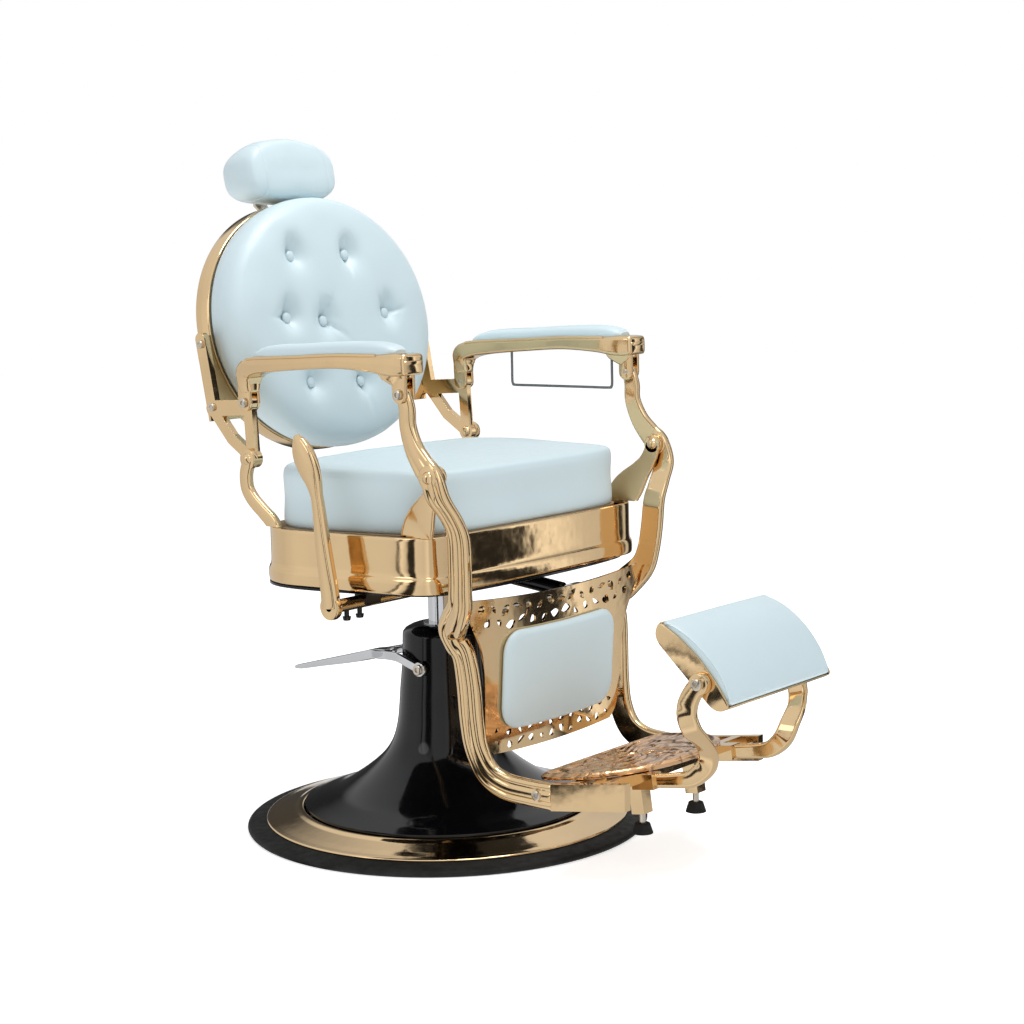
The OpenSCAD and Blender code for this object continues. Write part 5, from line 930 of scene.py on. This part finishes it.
class CHAIR_OT_back(ChairOperator, bpy.types.Operator):
    """Builds the hoop and the back pad from ellipses of share s and depth k, and takes from its face the
    tufts, tuft exp(-2 (r / 34)^2) + 5 exp(-(r / 11)^2) at distance r from each button, an oval hollow above
    each, and creases 1.7 depth exp(-(v / (3.8 + u / 20))^2), v to the side, that fade out along their
    length u"""
    bl_idname = "barber_chair.back"
    bl_label = "Back"

    def make(self, sizes, looks):
        band = eased([(-5, 0), (-1, 0), (0.6, -2), (1.4, -16), (0.6, -30), (-1, -32), (-5, -32)], 1.6)
        a = angles(240)
        hoop = [np.column_stack([(BACK_HALF[0] + d) * np.cos(a), np.full(len(a), y),
                                 (BACK_HALF[1] + d) * np.sin(a)]) for d, y in band]
        dressed("hoop", "back_hoop", [on_back(torus(hoop))])

        half = np.array(BACK_HALF) - 7
        shares = curve_through([
            (0.985, 0), (0.985, 0.2), (1.025, 0.26), (1.045, 0.45), (1.045, 0.64), (1.025, 0.8),
            (0.975, 0.92), (0.89, 0.99), (0.77, 1.03), (0.64, 1.055), (0.52, 1.07), (0.4, 1.085),
            (0.28, 1.095), (0.16, 1.1), (0.01, 1.1)], 9)
        s, k = shares[:, :1], shares[:, 1:]
        a = angles(320)[None]
        x, z = half[0] * s * np.cos(a), half[1] * s * np.sin(a)
        places = BUTTON_SHARES * BACK_HALF
        across, over = x[..., None] - places[:, 0], z[..., None] - places[:, 1]
        r = np.sqrt(across**2 + over**2)
        sunk = np.max(sizes.tuft / MM * np.exp(-2 * (r / 34) ** 2) + 5 * np.exp(-((r / 11) ** 2)), -1)
        sunk += 7 * np.sum(np.exp(-(((across - 3) / 12) ** 2) - ((over - 20) / 17) ** 2), -1)
        for button, angle, length, depth in CREASES:
            c, n = turn_of(angle)
            u = across[..., button] * c + over[..., button] * n
            v = over[..., button] * c - across[..., button] * n
            fade = smooth_step(1 - u / length) * smooth_step(u / 12)
            sunk += 1.7 * depth * np.exp(-((v / (3.8 + np.maximum(u, 0) * 0.05)) ** 2)) * fade
        y = BACK_PAD_REAR + BACK_PAD_DEPTH * k - sunk * smooth_step((k - 0.93) / 0.09)
        rings = np.stack([x, -y + 0 * a, z], -1)
        rings[..., 1] += slack(rings, 1.0, 58) * smooth_step((k - 0.9) * 12)
        dressed("back_cover", "back_pad", [on_back(skin(rings))])

        buttons = []
        for place, share in zip(places, BUTTON_SHARES):
            lift = np.interp(np.linalg.norm(share), [0, 0.28, 0.52, 0.76], [1.1, 1.095, 1.07, 1.03])
            floor = BACK_PAD_REAR + BACK_PAD_DEPTH * lift - sizes.tuft / MM - BUTTON_SINK
            cap = [(0, 8.2), (2.5, 9.2), (4.2, 8.8), (5.6, 7.2), (6.6, 4.6), (7, 1.6), (7.05, 0.3)]
            buttons.append(on_back(skin([
                np.column_stack([place[0] + r * np.cos(a[0, ::8]), np.full(40, -floor - up),
                                 place[1] + r * np.sin(a[0, ::8])]) for up, r in cap])))
        dressed("button_caps", "back_buttons", buttons)
        self.headrest()
        for node in ("back_screws", "arm_rear_pins"):
            softened(node, 0.7, socket=True)
        for node, width in (("back_frame_right", 1.8), ("back_frame_left", 1.8), ("back_board", 0.8),
                            ("headrest_socket", 0.8), ("headrest_bar", 0.8), ("headrest_hinge", 0.8)):
            softened(node, width)

    def headrest(self):
        """Rings of a squarish outline, sign(c) |c|^bend and sign(s) |s|^bend, which keep its ends upright
        while they shrink, with a seam a third of its width in from each end"""
        half_w, high, low, depth, rear, seam_x = 108, 57, 54, 84, 30, 76
        c, n = np.cos(angles(400)), np.sin(angles(400))
        bend = np.where(n > 0, 0.84, 0.5)
        outline = evened(np.column_stack([half_w * np.sign(c) * np.abs(c) ** bend,
                                          np.where(n > 0, high, low) * np.sign(n) * np.abs(n) ** bend]), 4)
        rows = curve_through([
            (0.1, -0.02), (0.45, 0), (0.72, 0), (0.86, 0.08), (0.95, 0.25), (1, 0.5), (0.985, 0.72),
            (0.93, 0.88), (0.8, 0.98), (0.45, 1.03), (0.05, 1.035)], 8)
        s = rows[:, :1]
        drawn = np.sign(outline[:, 0]) * np.minimum((1 - s) * 56, np.abs(outline[:, 0]) * (1 - s * 0.5))
        x, z = outline[:, 0] - drawn, outline[:, 1] * s
        pad = np.stack([x, rear - depth * rows[:, 1:] + 0 * x, z], -1)
        seam = 1.6 * np.exp(-(((np.abs(x) - seam_x) / 2.0) ** 2))
        way = (pad - [0, -12, 0]) * [0.15, 1, 1]
        pad -= way / np.linalg.norm(way, axis=-1, keepdims=True) * (seam + slack(pad, 0.7, 40))[..., None]
        pad[..., 2] += HEADREST_UP
        dressed("headrest_cover", "headrest_pad", [on_back(skin(pad))])


class CHAIR_OT_arms(ChairOperator, bpy.types.Operator):
    """Sweeps each arm through stations measured in shares of its span forward of the rear pin, with a
    thin lip along its top, forks down to both pins, a domed pad and, on the left, a towel bar"""
    bl_idname = "barber_chair.arms"
    bl_label = "Arms"

    def make(self, sizes, looks):
        centre = lambda s: part_way(BACK_FRAME_X, TOP_W - 2,
                                    np.interp(s, [0.03, 0.12, 0.25, 0.45, 0.65], [0, 0.28, 0.6, 0.88, 1]))
        rows = [(0.006, 0.055, 1.0, 25), (0.003, 0.1, 1.14, 33), (0.02, 0.146, 1.16, 44),
                (0.09, 0.171, 1.02, 50), (0.223, 0.182, 0.92, 52), (0.419, 0.193, 0.84, 52),
                (0.642, 0.204, 0.84, 52), (0.838, 0.2, 1, 52), (0.94, 0.194, 1.22, 52), (1, 0.194, 1.28, 51),
                (1.045, 0.195, 1.2, 48)]
        place = lambda f, u, w, t: [centre(f), ARM_REAR[0] - ARM_SPAN * f, ARM_REAR[1] + ARM_SPAN * u, w, t]
        arm = swept([place(f, u, 27 * k, t) for f, u, k, t in rows], 8, 6, crown=1.0, end=5)
        lip = swept([place(f, u + (13.5 * k - 1.5) / ARM_SPAN, 4.6, t + 3) for f, u, k, t in [
            (0.06, 0.166, 1, 47)] + rows[3:8] + [(0.9, 0.1965, 1.08, 50)]], 8, 2.2, end=1.5)
        neck = swept([[TOP_W - 1, ARM_FRONT[0] + b, ARM_FRONT[1] + u, w, t] for b, u, w, t in [
            (10, 45, 66, 44), (8, 35, 56, 40), (4, 26, 40, 32), (0, 19.5, 29, 25.5)]], 6, 6, end=1.5)
        forks, tall, cheek = [], 30, 5.6
        for x, pin, back in ((TOP_W, ARM_FRONT, 0), (BACK_FRAME_X, ARM_REAR, 1)):
            outline = evened(link(pin, (pin[0] + back, pin[1] + tall), 28), 3)
            gap = 6 + SIDE_GAP
            forks += [prism_x(outline, x - gap - cheek, x - gap, 1.6),
                      prism_x(outline, x + gap, x + gap + cheek, 1.6)]
        pair("arm_casting", "arm_casting", [arm, lip, neck, *forks])

        rows = curve_through([
            (0.08, 0.204, 0.5, 0.3), (0.11, 0.208, 0.8, 0.6), (0.16, 0.212, 0.94, 0.85), (0.25, 0.217, 1, 1),
            (0.42, 0.224, 1, 1), (0.642, 0.235, 1, 1), (0.83, 0.2385, 1, 1), (0.91, 0.2405, 0.94, 0.85),
            (0.96, 0.242, 0.8, 0.6), (0.985, 0.243, 0.5, 0.3)], 7)
        dome = loop_through([(0.9, -0.03), (1, 0.12), (1, 0.35), (0.88, 0.7), (0.6, 0.93), (0, 1),
                             (-0.6, 0.93), (-0.88, 0.7), (-1, 0.35), (-1, 0.12), (-0.9, -0.03),
                             (0, -0.03)], 6)
        f, u, w, h = rows.T[:, :, None]
        pad = np.stack([centre(f) + 25 * w * dome[:, 0], ARM_REAR[0] - ARM_SPAN * f + 0 * dome[:, 0],
                        ARM_REAR[1] + ARM_SPAN * u - 1 + 20 * h * dome[:, 1]], -1)
        pair("arm_cover", "arm_pad", [skin(pad)])

        fore, rear, low, high, turn = -153.99, 69.76, 733, 804, 7
        bend = [(0, 1), (0.3, 0.3), (1, 0)]
        route = [(rear, high), (rear, low + 30)] + [(rear - turn * a, low + turn * b) for a, b in bend]
        route += [(part_way(rear, fore, s), low) for s in (0.25, 0.5, 0.75)]
        route += [(fore + turn * a, low + turn * b) for a, b in bend[::-1]] + [(fore, low + 30), (fore, high)]
        dressed("towel_wire", "towel_bar", [tube([(291.5, y, z) for y, z in route], 2.3)])


# The camera's place in metres, its yaw, pitch and roll in degrees, its sensor's width in millimetres and
# its focal length as a share of that, and the studio's brightness once round from the chair's right

CAMERA_PLACE = (-2.64226, -2.28014, 0.97806)
CAMERA_TURN = (51.2139, 7.2593, -1.2648)
SENSOR = 36
FOCAL_SHARE = 2064.67 / 1024
WHITE = (1, 1, 1, 1)
CEILING = (0.92, 0.93, 0.95, 1)
DAYLIGHT = (0.41, 0.42, 0.43, 1)
WALLS = [
    (0.0, 0.03), (0.012, 0.04), (0.025, 0.95), (0.10, 0.85), (0.15, 1.1), (0.18, 0.75), (0.30, 0.72),
    (0.352, 0.66), (0.362, 0.02), (0.384, 0.03), (0.387, 1.5), (0.398, 0.8), (0.413, 0.75), (0.417, 0.02),
    (0.428, 0.04), (0.432, 0.8), (0.446, 0.7), (0.451, 0.02), (0.50, 0.03), (0.52, 0.75), (0.60, 0.65),
    (0.615, 0.05), (0.67, 0.08), (0.69, 0.75), (0.84, 0.78), (0.90, 0.92), (0.943, 0.85), (0.946, 0.1),
    (0.952, 0.1), (0.955, 1.3), (0.972, 0.8), (0.98, 0.03)]


class CHAIR_OT_stage(ChairOperator, bpy.types.Operator):
    """Sets the photograph's camera, a pale floor, studio lights and surroundings for the gold to mirror.
    The floor is pale to the camera, but a mirror ray that meets it gets the surroundings' bands instead"""
    bl_idname = "barber_chair.stage"
    bl_label = "Stage"

    def make(self, sizes, looks):
        scene = bpy.context.scene
        (yaw_c, yaw_s), (pitch_c, pitch_s), (roll_c, roll_s) = (turn_of(v) for v in CAMERA_TURN)
        forward = np.array([yaw_s * pitch_c, yaw_c * pitch_c, -pitch_s])
        right = np.array([yaw_c, -yaw_s, 0])
        up = np.cross(right, forward)
        axes = np.column_stack([roll_c * right + roll_s * up, roll_c * up - roll_s * right, -forward])
        camera = bpy.data.objects.new("camera", bpy.data.cameras.new("camera"))
        camera.data.sensor_width = SENSOR
        camera.data.lens = SENSOR * FOCAL_SHARE
        camera.matrix_world = Matrix.Translation(CAMERA_PLACE) @ Matrix(axes.tolist()).to_4x4()
        scene.collection.objects.link(camera)
        scene.camera = camera
        scene.view_settings.view_transform = "Standard"

        floor_y, floor_x = np.mgrid[-12:12:9j, -12:12:9j]
        mesh = bpy.data.meshes.new("floor")
        mesh.from_pydata(np.column_stack([floor_x.ravel(), floor_y.ravel(), np.zeros(81)]).tolist(), [],
                         grid_faces(9, 9, False).reshape(8, 9, 4)[:, :-1].reshape(-1, 4).tolist())
        floor = bpy.data.objects.new("floor", mesh)
        pale = Finish("pale floor", (0.92, 0.92, 0.92), Roughness=0.9, Emission_Strength=0.66,
                      Emission_Color=WHITE)
        pale.tint(pale.spread(pale.noise(2, 2), 0.3, 0.7, 0, 0.4), (0.90, 0.90, 0.905))
        pale.bump(pale.noise(60, 2), 0.0002)
        glow = pale.node("Emission", {"Color": self.levels(pale.tree, pale.place), "Strength": 0.95})
        mix = pale.node("MixShader", {0: pale.node("LightPath").outputs["Is Glossy Ray"],
                                      1: pale.shader.outputs[0], 2: glow.outputs[0]})
        pale.tree.links.new(mix.outputs[0], pale.tree.nodes["Material Output"].inputs["Surface"])
        mesh.materials.append(pale.material)
        scene.collection.objects.link(floor)

        for name, place, aim, size, power in (
                ("key light", (-2.2, -3.4, 3.4), (0, 0, 0.5), 1.8, 13),
                ("fill light", (-3.6, 0.8, 2.2), (0, 0, 0.5), 1.6, 8),
                ("top light", (0.2, -0.6, 4.2), (0, 0, 0), 2.0, 105)):
            lamp = bpy.data.lights.new(name, "AREA")
            lamp.shape = "DISK"
            lamp.size = size
            lamp.energy = power
            obj = bpy.data.objects.new(name, lamp)
            back = np.array(place, float) - aim
            back /= np.linalg.norm(back)
            side = np.cross([0, 1, 0.01], back)
            side /= np.linalg.norm(side)
            obj.matrix_world = Matrix.Translation(place) @ Matrix(
                np.column_stack([side, np.cross(back, side), back]).tolist()).to_4x4()
            scene.collection.objects.link(obj)
        self.surround(scene)

    def levels(self, tree, place):
        """Brightness by direction round the chair: pale walls with dark gaps and bright strips"""
        axes = add_node(tree, "SeparateXYZ", {0: place}).outputs
        turn = add_node(tree, "Math", {0: axes["Y"], 1: axes["X"]}, operation="ARCTAN2")
        share = add_node(tree, "MapRange", {"Value": turn.outputs[0], "From Min": -math.pi,
                                            "From Max": math.pi})
        walls = add_node(tree, "ValToRGB", {0: share.outputs[0]})
        stops = walls.color_ramp.elements
        while len(stops) < len(WALLS):
            stops.new(0.5)
        for stop, (at, level) in zip(stops, WALLS):
            stop.position = at
            stop.color = (level, level, level, 1)
        return walls.outputs[0]

    def surround(self, scene):
        """White to the camera, walls under a pale ceiling to mirrors, and even grey to all other rays"""
        scene.world = bpy.data.worlds.new("studio")
        scene.world.use_nodes = True
        tree = scene.world.node_tree
        blend = lambda share, a, b: add_node(tree, "Mix", {0: share, 6: a, 7: b}, data_type="RGBA").outputs[2]
        place = add_node(tree, "TexCoord").outputs["Generated"]
        height = add_node(tree, "MapRange", {"Value": add_node(tree, "SeparateXYZ", {0: place}).outputs["Z"],
                                             "From Min": 0.35, "From Max": 0.8}).outputs[0]
        ray = add_node(tree, "LightPath").outputs
        room = blend(height, self.levels(tree, place), CEILING)
        sky = blend(ray["Is Camera Ray"], blend(ray["Is Glossy Ray"], DAYLIGHT, room), WHITE)
        tree.links.new(sky, tree.nodes["Background"].inputs["Color"])


class CHAIR_PT_panel(bpy.types.Panel):
    bl_label = "Barber Chair"
    bl_idname = "CHAIR_PT_panel"
    bl_space_type = "VIEW_3D"
    bl_region_type = "UI"
    bl_category = "Barber Chair"

    def draw(self, context):
        for group in (context.scene.chair_looks, context.scene.chair_sizes):
            for name in group.__annotations__:
                self.layout.prop(group, name)
        for operator in OPERATORS:
            self.layout.operator(operator.bl_idname)


OPERATORS = (CHAIR_OT_finishes, CHAIR_OT_base, CHAIR_OT_seat, CHAIR_OT_levers, CHAIR_OT_leg_rest,
             CHAIR_OT_foot_plate, CHAIR_OT_flip_pad, CHAIR_OT_back, CHAIR_OT_arms, CHAIR_OT_stage)
CLASSES = (ChairLooks, ChairSizes, *OPERATORS, CHAIR_PT_panel)


def register():
    for c in CLASSES:
        bpy.utils.register_class(c)
    bpy.types.Scene.chair_looks = bpy.props.PointerProperty(type=ChairLooks)
    bpy.types.Scene.chair_sizes = bpy.props.PointerProperty(type=ChairSizes)


def unregister():
    del bpy.types.Scene.chair_sizes
    del bpy.types.Scene.chair_looks
    for c in reversed(CLASSES):
        bpy.utils.unregister_class(c)


def main():
    register()
    bpy.ops.barber_chair.finishes()
    bpy.ops.barber_chair.base()
    bpy.ops.barber_chair.seat()
    bpy.ops.barber_chair.levers()
    bpy.ops.barber_chair.leg_rest()
    bpy.ops.barber_chair.foot_plate()
    bpy.ops.barber_chair.flip_pad()
    bpy.ops.barber_chair.back()
    bpy.ops.barber_chair.arms()
    bpy.ops.barber_chair.stage()


if __name__ == "__main__":
    main()
